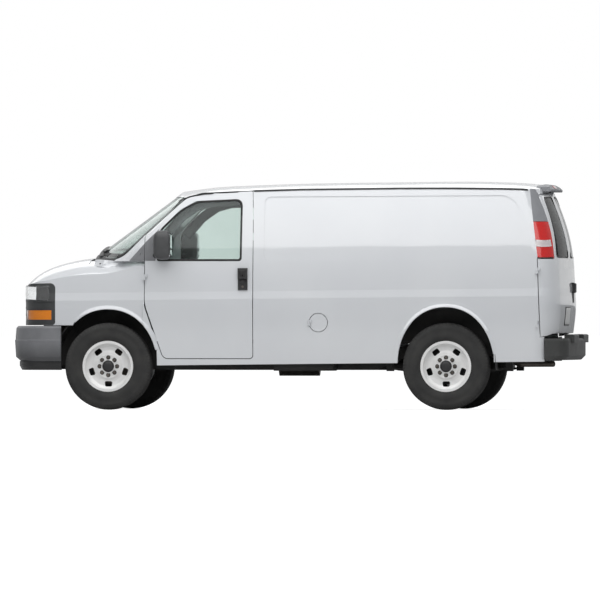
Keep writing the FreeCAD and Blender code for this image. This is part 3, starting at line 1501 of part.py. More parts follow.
def build_rear_axle():
    """Live axle with its differential, two leaf springs and the drive shaft."""
    across = vector(0.0, 1.0, 0.0)
    flange_y = rear_track / 2 + disc_depths[-1] - rim_metal - seat_gap
    tube = cylinder(vector(rear_axle_x, -flange_y, tyre_radius), across, axle_radius, flange_y * 2)
    casing = Part.makeSphere(diff_radius, vector(rear_axle_x, 0.0, tyre_radius))
    drum_y = rear_track / 2 - rim_half_width * 0.2
    shapes = [tube, casing]
    for sign in (-1.0, 1.0):
        low_y = -drum_y if sign < 0 else drum_y - drum_width
        shapes.append(cylinder(vector(rear_axle_x, low_y, tyre_radius), across, disc_radius, drum_width))
        spring_low = tyre_radius - axle_radius - spring_thickness * 1.5
        front = vector(rear_axle_x - spring_reach, 0.0, tyre_radius - axle_radius + spring_thickness)
        rear = vector(rear_axle_x + spring_reach, 0.0, tyre_radius - axle_radius + spring_thickness)
        low = vector(rear_axle_x, 0.0, spring_low)
        lift = vector(0.0, 0.0, spring_thickness)
        wire = Part.Wire([
            Part.Arc(front, low, rear).toShape(),
            Part.makeLine(rear, rear.add(lift)),
            Part.Arc(rear.add(lift), low.add(lift).add(lift), front.add(lift)).toShape(),
            Part.makeLine(front.add(lift), front),
        ])
        leaf = Part.Face(wire)
        centre_y = sign * (rail_outer + spring_width)
        leaf.translate(vector(0.0, centre_y - spring_width / 2, 0.0))
        shapes.append(leaf.extrude(vector(0.0, spring_width, 0.0)))
        for end in (front, rear):
            low_y = min(sign * (rail_outer + seat_gap), centre_y + sign * spring_width / 2)
            high_y = max(sign * (rail_outer + seat_gap), centre_y + sign * spring_width / 2)
            hanger = box(end.x - spring_width / 2, end.x + spring_width / 2, low_y, high_y,
                         end.z - spring_thickness,
                         rail_low_z + rail_depth + rail_front_rise)
            shapes.append(hanger)
    shaft_end = front_axle_x + shaft_front_reach
    shapes.append(cylinder(vector(shaft_end, 0.0, tyre_radius), vector(1.0, 0.0, 0.0), shaft_radius,
                           rear_axle_x - shaft_end))
    joined = shapes[0].multiFuse(shapes[1:])
    return joined


def build_exhaust():
    """Pipe from under the engine, muffler, arch over the axle and tail pipe."""
    shapes = []
    route = [vector(front_axle_x + x, y, z) for x, y, z in exhaust_route]
    for start, stop in zip(route, route[1:]):
        way = stop.sub(start)
        length = way.Length
        way.normalize()
        shapes.append(cylinder(start, way, pipe_radius, length))
    for spot in route[1:-1]:
        shapes.append(Part.makeSphere(pipe_radius, spot))
    muffler_start = vector(front_axle_x + exhaust_route[1][0], exhaust_route[1][1], exhaust_route[1][2])
    shapes.append(cylinder(muffler_start, vector(1.0, 0.0, 0.0), muffler_radius, muffler_length))
    for place_x in hanger_places:
        shapes.append(cylinder(vector(place_x, route[1].y, route[1].z), vector(0.0, 0.0, 1.0), hanger_radius,
                               cross_member_low_z - seat_gap - route[1].z))
    return fuse_all(shapes)


def build_engine():
    engine = box(front_axle_x - engine_front, front_axle_x + engine_rear, -engine_half, engine_half,
                 engine_low_z, engine_high_z)
    gearbox = box(front_axle_x + engine_rear - overrun, front_axle_x + shaft_front_reach - seat_gap,
                  -gearbox_half,
                  gearbox_half, cross_member_low_z + cross_member_height + seat_gap,
                  engine_low_z + gearbox_height)
    return engine.fuse(gearbox)


def build_fuel_tank():
    low_y = -tank_outer
    high_y = -rail_outer - seat_gap
    points = [(low_y, tank_low_z), (low_y, tank_top_z), (high_y, tank_top_z), (high_y, tank_low_z)]
    return front_prism(points, tank_round, tank_front_x, tank_front_x + tank_length)


def build_seat(centre_y):
    """Bucket seat on a pedestal."""
    top = floor_low_z + floor_thickness
    low_y = centre_y - seat_width / 2
    profile = [
        (seat_x - seat_depth, top + seat_rise),
        (seat_x - seat_depth, top + seat_rise + seat_cushion),
        (seat_x - seat_cushion, top + seat_rise + seat_cushion),
        (seat_x + seat_lean - seat_cushion * 0.7, top + seat_rise + seat_back),
        (seat_x + seat_lean, top + seat_rise + seat_back),
        (seat_x + seat_cushion * 0.3, top + seat_rise),
    ]
    cushion = side_prism(profile, seat_cushion * 0.25, low_y, low_y + seat_width)
    head_profile = [
        (seat_x + seat_lean - seat_cushion * 0.8, top + seat_rise + seat_back + head_gap),
        (seat_x + seat_lean - seat_cushion * 0.5, top + seat_rise + seat_back + head_gap + head_height),
        (seat_x + seat_lean + seat_cushion * 0.1, top + seat_rise + seat_back + head_gap + head_height),
        (seat_x + seat_lean, top + seat_rise + seat_back + head_gap),
    ]
    head_low = centre_y - head_width / 2
    head = side_prism(head_profile, seat_cushion * 0.2, head_low, head_low + head_width)
    shapes = [cushion, head]
    for offset in (-head_width / 4, head_width / 4):
        shapes.append(cylinder(vector(seat_x + seat_lean - seat_cushion * 0.35, centre_y + offset,
                                      top + seat_rise + seat_back - overrun),
                               vector(0.0, 0.0, 1.0), head_rod, head_gap + overrun * 2))
    shapes.append(box(seat_x - seat_depth * 0.8, seat_x - seat_cushion * 0.6, centre_y - seat_width * 0.35,
                      centre_y + seat_width * 0.35, top + seat_gap, top + seat_rise + seat_cushion / 4))
    return fuse_all(shapes)


def build_dashboard():
    """Dash moulding between the firewall and the cab."""
    top_z = cowl_z - firewall_thickness - seat_gap
    foot_z = cowl_z - dash_drop * 2.6
    lean = (cowl_x - firewall_x) / (cowl_z - firewall_z)
    points = [
        (firewall_x + lean * (foot_z - firewall_z) + seat_gap * 2, foot_z),
        (firewall_x + lean * (top_z - firewall_z) + seat_gap * 2, top_z),
        (dash_rear_x - dash_drop, top_z),
        (dash_rear_x, cowl_z - dash_drop * 0.7),
        (dash_rear_x - dash_drop * 0.6, cowl_z - dash_drop * 2.4),
        (dash_rear_x - dash_drop * 2.2, foot_z),
    ]
    return side_prism(points, [0, 0] + [dash_drop * 0.15] * 4, -dash_half, dash_half)


def build_steering_wheel():
    """Wheel, three spokes and the column into the dash."""
    centre = vector(dash_rear_x + column_reach, -seat_place, cowl_z - dash_drop * 0.6)
    ring = Part.makeTorus(wheel_hand_radius, wheel_hand_grip, vector(0.0, 0.0, 0.0), vector(0.0, 0.0, 1.0))
    boss = cylinder(vector(0.0, 0.0, -wheel_hand_grip * 3), vector(0.0, 0.0, 1.0), wheel_boss_radius,
                    wheel_hand_grip * 3.5)
    shapes = [ring, boss]
    for angle in (0.0, 150.0, 210.0):
        spoke = box(0.0, wheel_hand_radius, -wheel_hand_grip, wheel_hand_grip, -wheel_hand_grip * 1.4,
                    -wheel_hand_grip * 0.2)
        spoke.rotate(vector(0.0, 0.0, 0.0), vector(0.0, 0.0, 1.0), angle)
        shapes.append(spoke)
    column = cylinder(vector(0.0, 0.0, -column_length), vector(0.0, 0.0, 1.0), wheel_hand_grip * 2,
                      column_length)
    shapes.append(column)
    wheel = shapes[0].multiFuse(shapes[1:])
    wheel.rotate(vector(0.0, 0.0, 0.0), vector(0.0, 1.0, 0.0), column_tilt)
    wheel.translate(centre)
    return wheel


def build_mirror(door, door_glass):
    """Left door mirror: sail on the door, arm and upright housing."""
    points = [
        (mirror_rear_x, mirror_low_z),
        (mirror_rear_x, mirror_high_z - overrun),
        (mirror_rear_x - mirror_length * 0.3, mirror_high_z),
        (mirror_front_x + mirror_length * 0.1, mirror_high_z - overrun / 2),
        (mirror_front_x, mirror_low_z + overrun * 2),
        (mirror_front_x + mirror_length * 0.2, mirror_low_z),
    ]
    housing = side_prism(points, mirror_length * 0.12, -mirror_outer, -mirror_outer + mirror_depth)
    levels = [mirror_low_z - overrun / 4, mirror_low_z + overrun]
    reach = mirror_outer - mirror_depth / 2
    arm_points = [(-reach, levels[1]), (-reach, levels[0])] + skin_line(levels,
                                                                        -glass_sink - glass_thickness / 2)
    arm = front_prism(arm_points, 0, mirror_front_x, mirror_front_x + mirror_arm_length)
    body = housing.fuse(arm)
    for piece in (door, door_glass):
        space = piece.copy()
        space.translate(vector(0.0, -seat_gap, 0.0))
        body = body.cut(space)
    return largest_solid(body)


def main():
    shell, nose_shell = build_skins()
    cabin = build_cabin_panels(shell)
    nose = build_nose_panels(nose_shell)
    pieces = {}
    pressed = press_panel(cabin["quarter"])
    quarter_left, flap = fuel_flap_cut(pressed)

    # Hinges of the driver's side, and the far side before its cargo doors are cut
    axis_y = -belly_half - hinge_offset
    fender, door = add_hinges(nose["fender"], cabin["door"], door_front_x - hinge_lead, axis_y,
                              front_hinge_levels, 1.0, 1.0)
    quarter_left, flap = add_hinges(quarter_left, flap, flap_hinge_x, axis_y, [flap_z], 1.0, 1.0)
    quarter_left, rear_door = add_hinges(quarter_left, cabin["rear_door"], rear_seam_top_x - hinge_lead,
                                         axis_y,
                                         rear_hinge_levels, 1.0, 1.0)
    plain_side = add_hinges(pressed, cabin["rear_door"], rear_seam_top_x - hinge_lead, axis_y,
                            rear_hinge_levels, 1.0, 1.0)[0]
    quarter_right = mirrored(plain_side)

    # Cargo doors of the far side
    side_top = side_door_top_z
    opening = [
        (side_door_front_x, side_door_bottom_z),
        (side_door_front_x, side_top),
        (side_door_front_x + side_door_width, side_top),
        (side_door_front_x + side_door_width, side_door_bottom_z),
    ]
    split_x = side_door_front_x + side_door_split
    opening_space = side_prism(opening, door_round, roof_edge_half / 2, body_width)
    opening_cut = side_prism(opening, door_round, roof_edge_half / 2, body_width, shut_gap)
    leaf_panel = quarter_right.common(opening_space)
    quarter_right = quarter_right.cut(opening_cut)
    upright = vector(0.0, 0.0, 1.0)
    front_axis_x = side_door_front_x - hinge_lead
    front_swing = cylinder(vector(front_axis_x, -axis_y, 0.0), upright, split_x - shut_gap / 2 - front_axis_x,
                           body_width * 2)
    front_leaf = leaf_panel.common(front_swing)
    rear_axis_x = side_door_front_x + side_door_width + hinge_lead
    rear_swing = cylinder(vector(rear_axis_x, -axis_y, 0.0), upright, rear_axis_x - split_x - shut_gap / 2,
                          body_width * 2)
    rear_leaf = leaf_panel.common(rear_swing)
    quarter_right, front_leaf = add_hinges(quarter_right, front_leaf, front_axis_x, -axis_y,
                                           side_hinge_levels, 1.0, -1.0)
    quarter_right, rear_leaf = add_hinges(quarter_right, rear_leaf, rear_axis_x, -axis_y,
                                          side_hinge_levels, -1.0, -1.0)

    mirror_left = build_mirror(door, cabin["door_glass"])
    dashboard = build_dashboard()
    hood, cowl = hood_hinges(nose["hood"], cabin["cowl"])
    front_handle = build_side_handle(door_rear_x - handle_edge - handle_width).cut(door)
    side_handle = mirrored(build_side_handle(split_x - handle_edge - handle_width)).cut(front_leaf)
    for name, shape in (("roof", cabin["roof"]), ("windshield", cabin["windshield"]),
                        ("front_glass_left", cabin["door_glass"]), ("rear_glass_left", cabin["rear_glass"]),
                        ("front_door_left", door), ("rear_door_left", rear_door),
                        ("body_side_left", quarter_left), ("body_side_right", quarter_right),
                        ("side_door_front", front_leaf), ("side_door_rear", rear_leaf),
                        ("hood", hood), ("high_stop_lamp", build_high_lamp(cabin["roof"])),
                        ("wipers", build_wipers()), ("front_handle_left", front_handle),
                        ("side_door_handle", side_handle),
                        ("rear_door_handle", mirrored(build_rear_handle(rear_door))),
                        ("fuel_flap", flap), ("mirror_left", mirror_left),
                        ("frame", build_frame()), ("floor", build_floor()),
                        ("front_bumper", build_front_bumper()), ("front_valance", build_front_valance()),
                        ("rear_bumper", build_rear_bumper()), ("front_suspension", build_front_suspension()),
                        ("rear_axle", build_rear_axle()), ("exhaust", build_exhaust()),
                        ("engine_block", build_engine()), ("fuel_tank", build_fuel_tank()),
                        ("dashboard", dashboard), ("steering_wheel", build_steering_wheel().cut(dashboard))):
        pieces[name] = shape
    pieces["front_door_right"] = mirrored(door)
    pieces["rear_door_right"] = mirrored(rear_door)
    pieces["front_glass_right"] = mirrored(cabin["door_glass"])
    pieces["rear_glass_right"] = mirrored(cabin["rear_glass"])
    pieces["mirror_right"] = mirrored(mirror_left)
    pieces["front_handle_right"] = mirrored(front_handle)
    pieces["cowl_panel"] = Part.makeCompound([cowl, mirrored(cowl)])
    pieces["front_fenders"] = Part.makeCompound([fender, mirrored(fender)])
    pieces["headlamps"] = Part.makeCompound([nose["lamp"], mirrored(nose["lamp"])])
    pieces["turn_lamps"] = Part.makeCompound([nose["turn"], mirrored(nose["turn"])])
    pieces["tail_lamps"] = Part.makeCompound([cabin["lamp"], mirrored(cabin["lamp"])])
    pieces["rear_corner_trim"] = Part.makeCompound([cabin["trim"], mirrored(cabin["trim"])])
    pieces["grille"] = nose["grille"]
    pieces["windshield_pillars"] = Part.makeCompound([cabin["pillar"], mirrored(cabin["pillar"])])
    pieces["firewall"] = build_firewall()
    liner = build_wheel_liners()
    pieces["wheel_liners"] = Part.makeCompound([liner, mirrored(liner)])
    pieces["seats"] = Part.makeCompound([build_seat(-seat_place), build_seat(seat_place)])
    knuckle = build_knuckle()
    pieces["knuckle_left"] = knuckle
    pieces["knuckle_right"] = mirrored(knuckle)
    for end, axle_x, track in (("front", front_axle_x, front_track), ("rear", rear_axle_x, rear_track)):
        for side_name, sign in (("left", -1.0), ("right", 1.0)):
            centre = vector(axle_x, sign * track / 2, tyre_radius)
            pieces["tyre_" + end + "_" + side_name] = build_tyre(centre, tyre_width)
            pieces["rim_" + end + "_" + side_name] = build_rim(centre, sign)
    for name, shape in pieces.items():
        print(name, shape.isValid(), round(shape.Volume / 1e6, 2), len(shape.Solids), len(shape.Faces))
        shape.exportStep("parts/" + name + ".step")


if __name__ == "__main__":
    main()
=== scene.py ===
import math
import bpy
import bmesh
import numpy as np
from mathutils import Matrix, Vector


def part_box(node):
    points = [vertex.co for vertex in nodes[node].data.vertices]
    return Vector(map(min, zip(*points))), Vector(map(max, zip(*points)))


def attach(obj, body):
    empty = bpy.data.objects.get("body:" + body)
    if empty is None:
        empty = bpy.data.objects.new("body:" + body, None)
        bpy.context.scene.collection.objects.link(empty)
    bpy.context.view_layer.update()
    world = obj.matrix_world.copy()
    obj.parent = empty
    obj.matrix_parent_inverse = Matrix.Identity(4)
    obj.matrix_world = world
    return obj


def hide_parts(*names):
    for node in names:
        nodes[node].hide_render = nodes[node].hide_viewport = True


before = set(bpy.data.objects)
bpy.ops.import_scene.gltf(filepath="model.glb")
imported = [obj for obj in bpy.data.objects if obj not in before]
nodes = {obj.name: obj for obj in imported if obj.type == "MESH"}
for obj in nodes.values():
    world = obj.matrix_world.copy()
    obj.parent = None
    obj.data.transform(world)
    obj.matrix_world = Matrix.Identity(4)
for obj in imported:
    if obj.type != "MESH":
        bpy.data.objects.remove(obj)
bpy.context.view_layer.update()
sides = (("left", -1), ("right", 1))
print("frame loaded:", len(nodes), "nodes")

# The camera stands just above the wheels' tops, far back and a little behind square-on
camera = {"turn": 6.2, "height": 0.9, "distance": 125.0, "pixel": 0.0094, "pixels": 600, "centreX": 0.006,
          "centreZ": 1.027, "sensor": 36.0, "near": 1.0, "far": 500.0}
# The world's light and its white backdrop, and the lamps as (place, aim, size, power)
studio = {"worldColour": (0.95, 0.975, 1.0, 1), "world": 0.31, "backdrop": 0.5, "backdropFrom": (-0.15, 0.55),
          "lamps": {"overhead": ((0, -3.0, 7.5), (0, 0, 1.0), (11.0, 5.0), 370),
                    "near": ((0, -8.5, 6.2), (0, -1.0, 1.3), (17.0, 4.6), 385),
                    "far": ((0, 8.5, 6.2), (0, 1.0, 1.3), (17.0, 4.6), 230)},
          "floor": 400.0, "floorColour": (0.6, 0.6, 0.6, 1), "floorRough": 0.95, "floorGlow": 0.86}


def linked(name, data):
    made = bpy.data.objects.new(name, data)
    bpy.context.scene.collection.objects.link(made)
    return made


def makeCamera():
    turn = math.radians(camera["turn"])
    back = Vector((math.sin(turn), -math.cos(turn), 0.0))
    width = camera["pixel"] * camera["pixels"]
    data = bpy.data.cameras.new("camera")
    data.sensor_width = camera["sensor"]
    data.lens = camera["sensor"] * camera["distance"] / width
    data.shift_y = (camera["centreZ"] - camera["height"]) / width
    data.clip_start, data.clip_end = camera["near"], camera["far"]
    seen = linked("camera", data)
    seen.location = Vector((camera["centreX"], 0.0, camera["height"])) + back * camera["distance"]
    seen.rotation_euler = (math.radians(90), 0.0, turn)
    bpy.context.scene.camera = seen


def addNode(tree, kind, inputs, **settings):
    # a shader node; each input is given a value or joined to another node's output
    made = tree.nodes.new("ShaderNode" + kind)
    for name, value in settings.items():
        setattr(made, name, value)
    for name, value in inputs.items():
        if isinstance(value, bpy.types.NodeSocket):
            tree.links.new(value, made.inputs[name])
        else:
            made.inputs[name].default_value = value
    return made


def addMath(tree, operation, first, second):
    return addNode(tree, "Math", {0: first, 1: second}, operation=operation).outputs[0]


def seenRay(tree):
    # 1 for rays that the camera sees straight or through glass
    path = addNode(tree, "LightPath", {})
    return addMath(tree, "MAXIMUM", path.outputs["Is Camera Ray"], path.outputs["Is Transmission Ray"])


def placeOf(tree, kind="Object"):
    return addNode(tree, "TexCoord", {}).outputs[kind]


def setStudio():
    bpy.context.scene.view_settings.view_transform = "Standard"
    world = bpy.data.worlds.new("studio")
    world.use_nodes = True
    tree = world.node_tree
    tree.nodes.clear()
    light = addNode(tree, "Background", {"Color": studio["worldColour"], "Strength": studio["world"]})
    white = addNode(tree, "Background", {"Color": (1, 1, 1, 1), "Strength": 1.0})
    # gloss sees a share of the white backdrop too, on the side behind the object
    parts = addNode(tree, "SeparateXYZ", {0: placeOf(tree, "Generated")})
    start, end = studio["backdropFrom"]
    behind = addNode(tree, "MapRange", {"Value": parts.outputs["Y"], "From Min": start, "From Max": end},
                     interpolation_type="SMOOTHSTEP")
    share = addMath(tree, "MULTIPLY", behind.outputs["Result"], studio["backdrop"])
    path = addNode(tree, "LightPath", {})
    gloss = addMath(tree, "MULTIPLY", share, path.outputs["Is Glossy Ray"])
    mix = addNode(tree, "MixShader", {"Fac": addMath(tree, "MAXIMUM", seenRay(tree), gloss), 1: light.outputs[0],
                                      2: white.outputs[0]})
    addNode(tree, "OutputWorld", {"Surface": mix.outputs[0]})
    bpy.context.scene.world = world
    for name, (at, aim, size, power) in studio["lamps"].items():
        data = bpy.data.lights.new(name, "AREA")
        data.shape = "RECTANGLE"
        data.size, data.size_y = size
        data.energy = power
        lamp = linked(name, data)
        lamp.location = at
        lamp.rotation_euler = (Vector(aim) - Vector(at)).to_track_quat("-Z", "Y").to_euler()


def makeFloor():
    span = studio["floor"]
    mesh = bpy.data.meshes.new("studioFloor")
    mesh.from_pydata([(-span, -span, 0), (span, -span, 0), (span, span, 0), (-span, span, 0)], [], [[0, 1, 2, 3]])
    material, tree, shader = shaderOf("palePaperFloor", {"Base Color": studio["floorColour"],
                                                         "Roughness": studio["floorRough"]})
    glow = addNode(tree, "Emission", {"Strength": addMath(tree, "MULTIPLY", seenRay(tree), studio["floorGlow"])})
    both = addNode(tree, "AddShader", {0: shader.outputs[0], 1: glow.outputs[0]})
    tree.links.new(both.outputs[0], tree.nodes["Material Output"].inputs["Surface"])
    mesh.materials.append(material)
    linked("studioFloor", mesh)


def shaderOf(name, inputs):
    material = bpy.data.materials.new(name)
    material.use_nodes = True
    shader = material.node_tree.nodes["Principled BSDF"]
    for key, value in inputs.items():
        shader.inputs[key].default_value = value
    return material, material.node_tree, shader


def grainOf(tree, scale, detail=3.0):
    return addNode(tree, "TexNoise", {"Scale": scale, "Detail": detail, "Vector": placeOf(tree)}).outputs["Fac"]


def tint(tree, shader, height, dark, light, low=0.35, high=0.65):
    ramp = addNode(tree, "ValToRGB", {"Fac": height})
    for stop, position, colour in zip(ramp.color_ramp.elements, (low, high), (dark, light)):
        stop.position = position
        stop.color = (*colour, 1)
    tree.links.new(ramp.outputs["Color"], shader.inputs["Base Color"])


def bumpFrom(tree, shader, height, strength, distance):
    bump = addNode(tree, "Bump", {"Strength": strength, "Distance": distance, "Height": height})
    tree.links.new(bump.outputs["Normal"], shader.inputs["Normal"])


def roughFrom(tree, shader, height, low, high):
    span = addNode(tree, "MapRange", {"To Min": low, "To Max": high, "Value": height})
    tree.links.new(span.outputs["Result"], shader.inputs["Roughness"])


def enamel(name, dark, light, rough, coat):
    # a faint drift of colour, a very low orange peel and a clear coat
    material, tree, shader = shaderOf(name, {"Coat Weight": coat, "Coat Roughness": 0.05, "Coat IOR": 1.85})
    tint(tree, shader, grainOf(tree, 1.3), dark, light)
    bumpFrom(tree, shader, grainOf(tree, 160.0), 0.03, 0.0006)
    roughFrom(tree, shader, grainOf(tree, 5.0), rough, rough + 0.07)
    return material


def plastic(name, dark, light, rough, grain=900.0, depth=0.0006, strength=0.35):
    # moulded plastic with a fine leather-like grain and worn, paler patches
    material, tree, shader = shaderOf(name, {"Specular IOR Level": 0.45})
    tint(tree, shader, grainOf(tree, 7.0, 5.0), dark, light, 0.3, 0.75)
    bumpFrom(tree, shader, grainOf(tree, grain, 2.0), strength, depth)
    roughFrom(tree, shader, grainOf(tree, 14.0), rough, rough + 0.15)
    return material


def paintShadeBelow(material, low, high, share):
    # painted shade: the bumper below its fold, where it turns under away from the light, is darker: its colour is
    # scaled by height
    tree = material.node_tree
    base = tree.nodes["Principled BSDF"].inputs["Base Color"]
    parts = addNode(tree, "SeparateXYZ", {0: placeOf(tree)})
    span = addNode(tree, "MapRange", {"From Min": low, "From Max": high, "To Min": share, "To Max": 1.0,
                                      "Value": parts.outputs["Z"]})
    scale = addNode(tree, "VectorMath", {0: base.links[0].from_socket, "Scale": span.outputs["Result"]},
                    operation="SCALE")
    tree.links.new(scale.outputs["Vector"], base)
    return material


def metal(name, dark, light, rough, grain=260.0, strength=0.15, metallic=1.0):
    # cast or rolled metal with a fine grain and uneven wear
    material, tree, shader = shaderOf(name, {"Metallic": metallic})
    tint(tree, shader, grainOf(tree, 9.0, 5.0), dark, light, 0.3, 0.7)
    bumpFrom(tree, shader, grainOf(tree, grain), strength, 0.0005)
    roughFrom(tree, shader, grainOf(tree, 22.0), rough, rough + 0.18)
    return material


def glass(name, colour, rough=0.02, ior=1.45):
    # tinted clear glass; the light haze of dust is in its roughness
    material, tree, shader = shaderOf(name, {"Transmission Weight": 1.0, "IOR": ior})
    tint(tree, shader, grainOf(tree, 2.0), colour, tuple(min(1.0, c * 1.04) for c in colour))
    roughFrom(tree, shader, grainOf(tree, 3.0), rough, rough + 0.02)
    return material


def lens(name, colour, deep):
    # coloured lamp lens: small moulded prisms under a smooth skin
    material, tree, shader = shaderOf(name, {"Coat Weight": 1.0, "Coat Roughness": 0.03})
    cells = addNode(tree, "TexVoronoi", {"Scale": 130.0, "Detail": 3.0, "Vector": placeOf(tree)})
    tint(tree, shader, cells.outputs["Distance"], colour, deep, 0.1, 0.9)
    bumpFrom(tree, shader, cells.outputs["Distance"], 0.25, 0.001)
    roughFrom(tree, shader, grainOf(tree, 8.0), 0.08, 0.16)
    return material


def cloth(name, dark, light):
    # woven seat cloth: two crossed waves as warp and weft, with a nap
    material, tree, shader = shaderOf(name, {"Roughness": 0.95, "Sheen Weight": 0.3})
    tint(tree, shader, grainOf(tree, 420.0, 2.0), dark, light, 0.3, 0.7)
    weave = [addNode(tree, "TexWave", {"Scale": 160.0, "Distortion": 1.0, "Vector": placeOf(tree)},
                     bands_direction=axis).outputs["Fac"] for axis in ("X", "Z")]
    bumpFrom(tree, shader, addMath(tree, "MULTIPLY", *weave), 0.6, 0.0012)
    return material


# Each finish as its maker and the maker's values: dark and light colour, roughness, then grain or coat
recipes = {
    "whiteEnamel": (enamel, (0.665, 0.68, 0.705), (0.695, 0.71, 0.73), 0.28, 1.0),
    "underside": (plastic, (0.018, 0.018, 0.018), (0.04, 0.038, 0.036), 0.6, 60.0, 0.003, 0.5),
    "blackTrim": (plastic, (0.022, 0.022, 0.023), (0.035, 0.035, 0.036), 0.42),
    "greyBumper": (plastic, (0.165, 0.168, 0.178), (0.205, 0.208, 0.218), 0.42),
    "darkBumper": (plastic, (0.038, 0.039, 0.038), (0.058, 0.059, 0.057), 0.5),
    "lampFrame": (plastic, (0.04, 0.042, 0.043), (0.055, 0.057, 0.058), 0.35),
    "pillarTrim": (plastic, (0.24, 0.245, 0.26), (0.28, 0.285, 0.3), 0.5),
    "cabPlastic": (plastic, (0.1, 0.1, 0.105), (0.14, 0.14, 0.145), 0.6),
    "rubber": (plastic, (0.022, 0.022, 0.022), (0.045, 0.044, 0.042), 0.75, 500.0, 0.0005, 0.4),
    "seal": (plastic, (0.012, 0.012, 0.012), (0.02, 0.02, 0.02), 0.55),
    "wheelSilver": (metal, (0.8, 0.795, 0.785), (0.9, 0.895, 0.885), 0.34, 300.0, 0.1, 0.2),
    "rawSteel": (metal, (0.1, 0.09, 0.08), (0.2, 0.18, 0.16), 0.5, 120.0, 0.4),
    "chrome": (metal, (0.8, 0.8, 0.8), (0.92, 0.92, 0.92), 0.1, 60.0, 0.05),
    "cabGlass": (glass, (0.7, 0.775, 0.75), 0.02, 1.38),
    "rearGlass": (glass, (0.09, 0.1, 0.098), 0.03, 1.05),
    "shieldGlass": (glass, (0.5, 0.575, 0.55), 0.02, 1.22),
    "lampGlass": (glass, (0.95, 0.96, 0.97), 0.02),
    "redLens": (lens, (0.86, 0.022, 0.018), (0.62, 0.012, 0.01)),
    "amberLens": (lens, (0.95, 0.36, 0.012), (0.78, 0.22, 0.008)),
    "clearLens": (lens, (0.86, 0.84, 0.84), (0.62, 0.56, 0.56)),
    "capBlack": (plastic, (0.022, 0.022, 0.023), (0.03, 0.03, 0.031), 0.35),
    "mirrorShell": (plastic, (0.055, 0.056, 0.058), (0.085, 0.086, 0.088), 0.32),
    "mirrorFace": (metal, (0.86, 0.87, 0.88), (0.9, 0.91, 0.92), 0.02, 40.0, 0.01),
    "platePaint": (enamel, (0.72, 0.72, 0.71), (0.76, 0.76, 0.75), 0.4, 0.2),
    "seatCloth": (cloth, (0.05, 0.052, 0.056), (0.11, 0.112, 0.118)),
}
recipes["sailPlastic"] = recipes["greyBumper"]
longNames = {"underside": "undersideBlack", "rubber": "tyreRubber", "seal": "sealRubber", "chrome": "lampReflector"}
finishes = {name: recipe[0](longNames.get(name, name), *recipe[1:]) for name, recipe in recipes.items()}
# painted shade: the grey bumper grows darker towards its bottom, where it turns under
paintShadeBelow(finishes["greyBumper"], 0.5, 0.62, 0.48)
nodeFinish = {
    "whiteEnamel": "roof body_side_left body_side_right front_fenders hood front_door_left front_door_right "
                   "side_door_front side_door_rear rear_door_left rear_door_right windshield_pillars fuel_flap",
    "underside": "floor frame wheel_liners firewall fuel_tank front_suspension rear_axle",
    "rawSteel": "exhaust engine_block knuckle_left knuckle_right",
    "blackTrim": "cowl_panel wipers mirror_left mirror_right front_handle_left front_handle_right side_door_handle "
                 "rear_door_handle grille front_valance",
    "greyBumper": "front_bumper",
    "darkBumper": "rear_bumper",
    "lampFrame": "headlamps",
    "pillarTrim": "rear_corner_trim high_stop_lamp",
    "cabPlastic": "dashboard steering_wheel",
    "rubber": "tyre_front_left tyre_front_right tyre_rear_left tyre_rear_right",
    "wheelSilver": "rim_front_left rim_front_right rim_rear_left rim_rear_right",
    "cabGlass": "front_glass_left front_glass_right",
    "shieldGlass": "windshield",
    "rearGlass": "rear_glass_left rear_glass_right",
    "redLens": "tail_lamps",
    "amberLens": "turn_lamps",
    "seatCloth": "seats",
}


def finishNodes():
    for finish, names in nodeFinish.items():
        for name in names.split():
            slots = nodes[name].material_slots
            if len(slots) == 0:
                nodes[name].data.materials.append(finishes[finish])
            for slot in slots:
                slot.material = finishes[finish]


def place(name, points, faces, finish, body, smooth=True):
    # a mesh from points and faces, with its finish and the body it rides on
    mesh = bpy.data.meshes.new(name)
    mesh.from_pydata(np.asarray(points, float).reshape(-1, 3).tolist(), [],
                     faces if isinstance(faces, list) else faces.tolist())
    mesh.polygons.foreach_set("use_smooth", np.full(len(mesh.polygons), smooth))
    mesh.materials.append(finishes[finish])
    piece = linked(name, mesh)
    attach(piece, body)
    return piece


def gridFaces(rows, columns, loopRows=False, loopColumns=False):
    # quads that join each grid point to the next row and column; a loop joins the last to the first
    r = np.arange(rows if loopRows else rows - 1)[:, None]
    c = np.arange(columns if loopColumns else columns - 1)[None, :]
    near, far = r * columns, (r + 1) % rows * columns
    after = (c + 1) % columns
    return np.stack([near + c, far + c, far + after, near + after], -1).reshape(-1, 4)


def closedFaces(rows, columns):
    # rings of points, closed by one face at each end
    faces = gridFaces(rows, columns, loopColumns=True).tolist()
    faces.append(list(range(columns)))
    faces.append([(rows - 1) * columns + k for k in reversed(range(columns))])
    return faces


def stacked(*parts):
    # x, y and z of any shapes that fit together, as one array of points
    return np.stack(np.broadcast_arrays(*parts), -1)


def between(first, last, count):
    # rows of points from one line to another: each row is a mean of the two
    share = np.linspace(0, 1, count).reshape(-1, *[1] * first.ndim)
    return first * (1 - share) + last * share


def cornerSides(corners):
    # the outline, and each corner's way back to the last corner and on to the next
    p = np.asarray(corners, float)
    return p, np.roll(p, 1, 0) - p, np.roll(p, -1, 0) - p


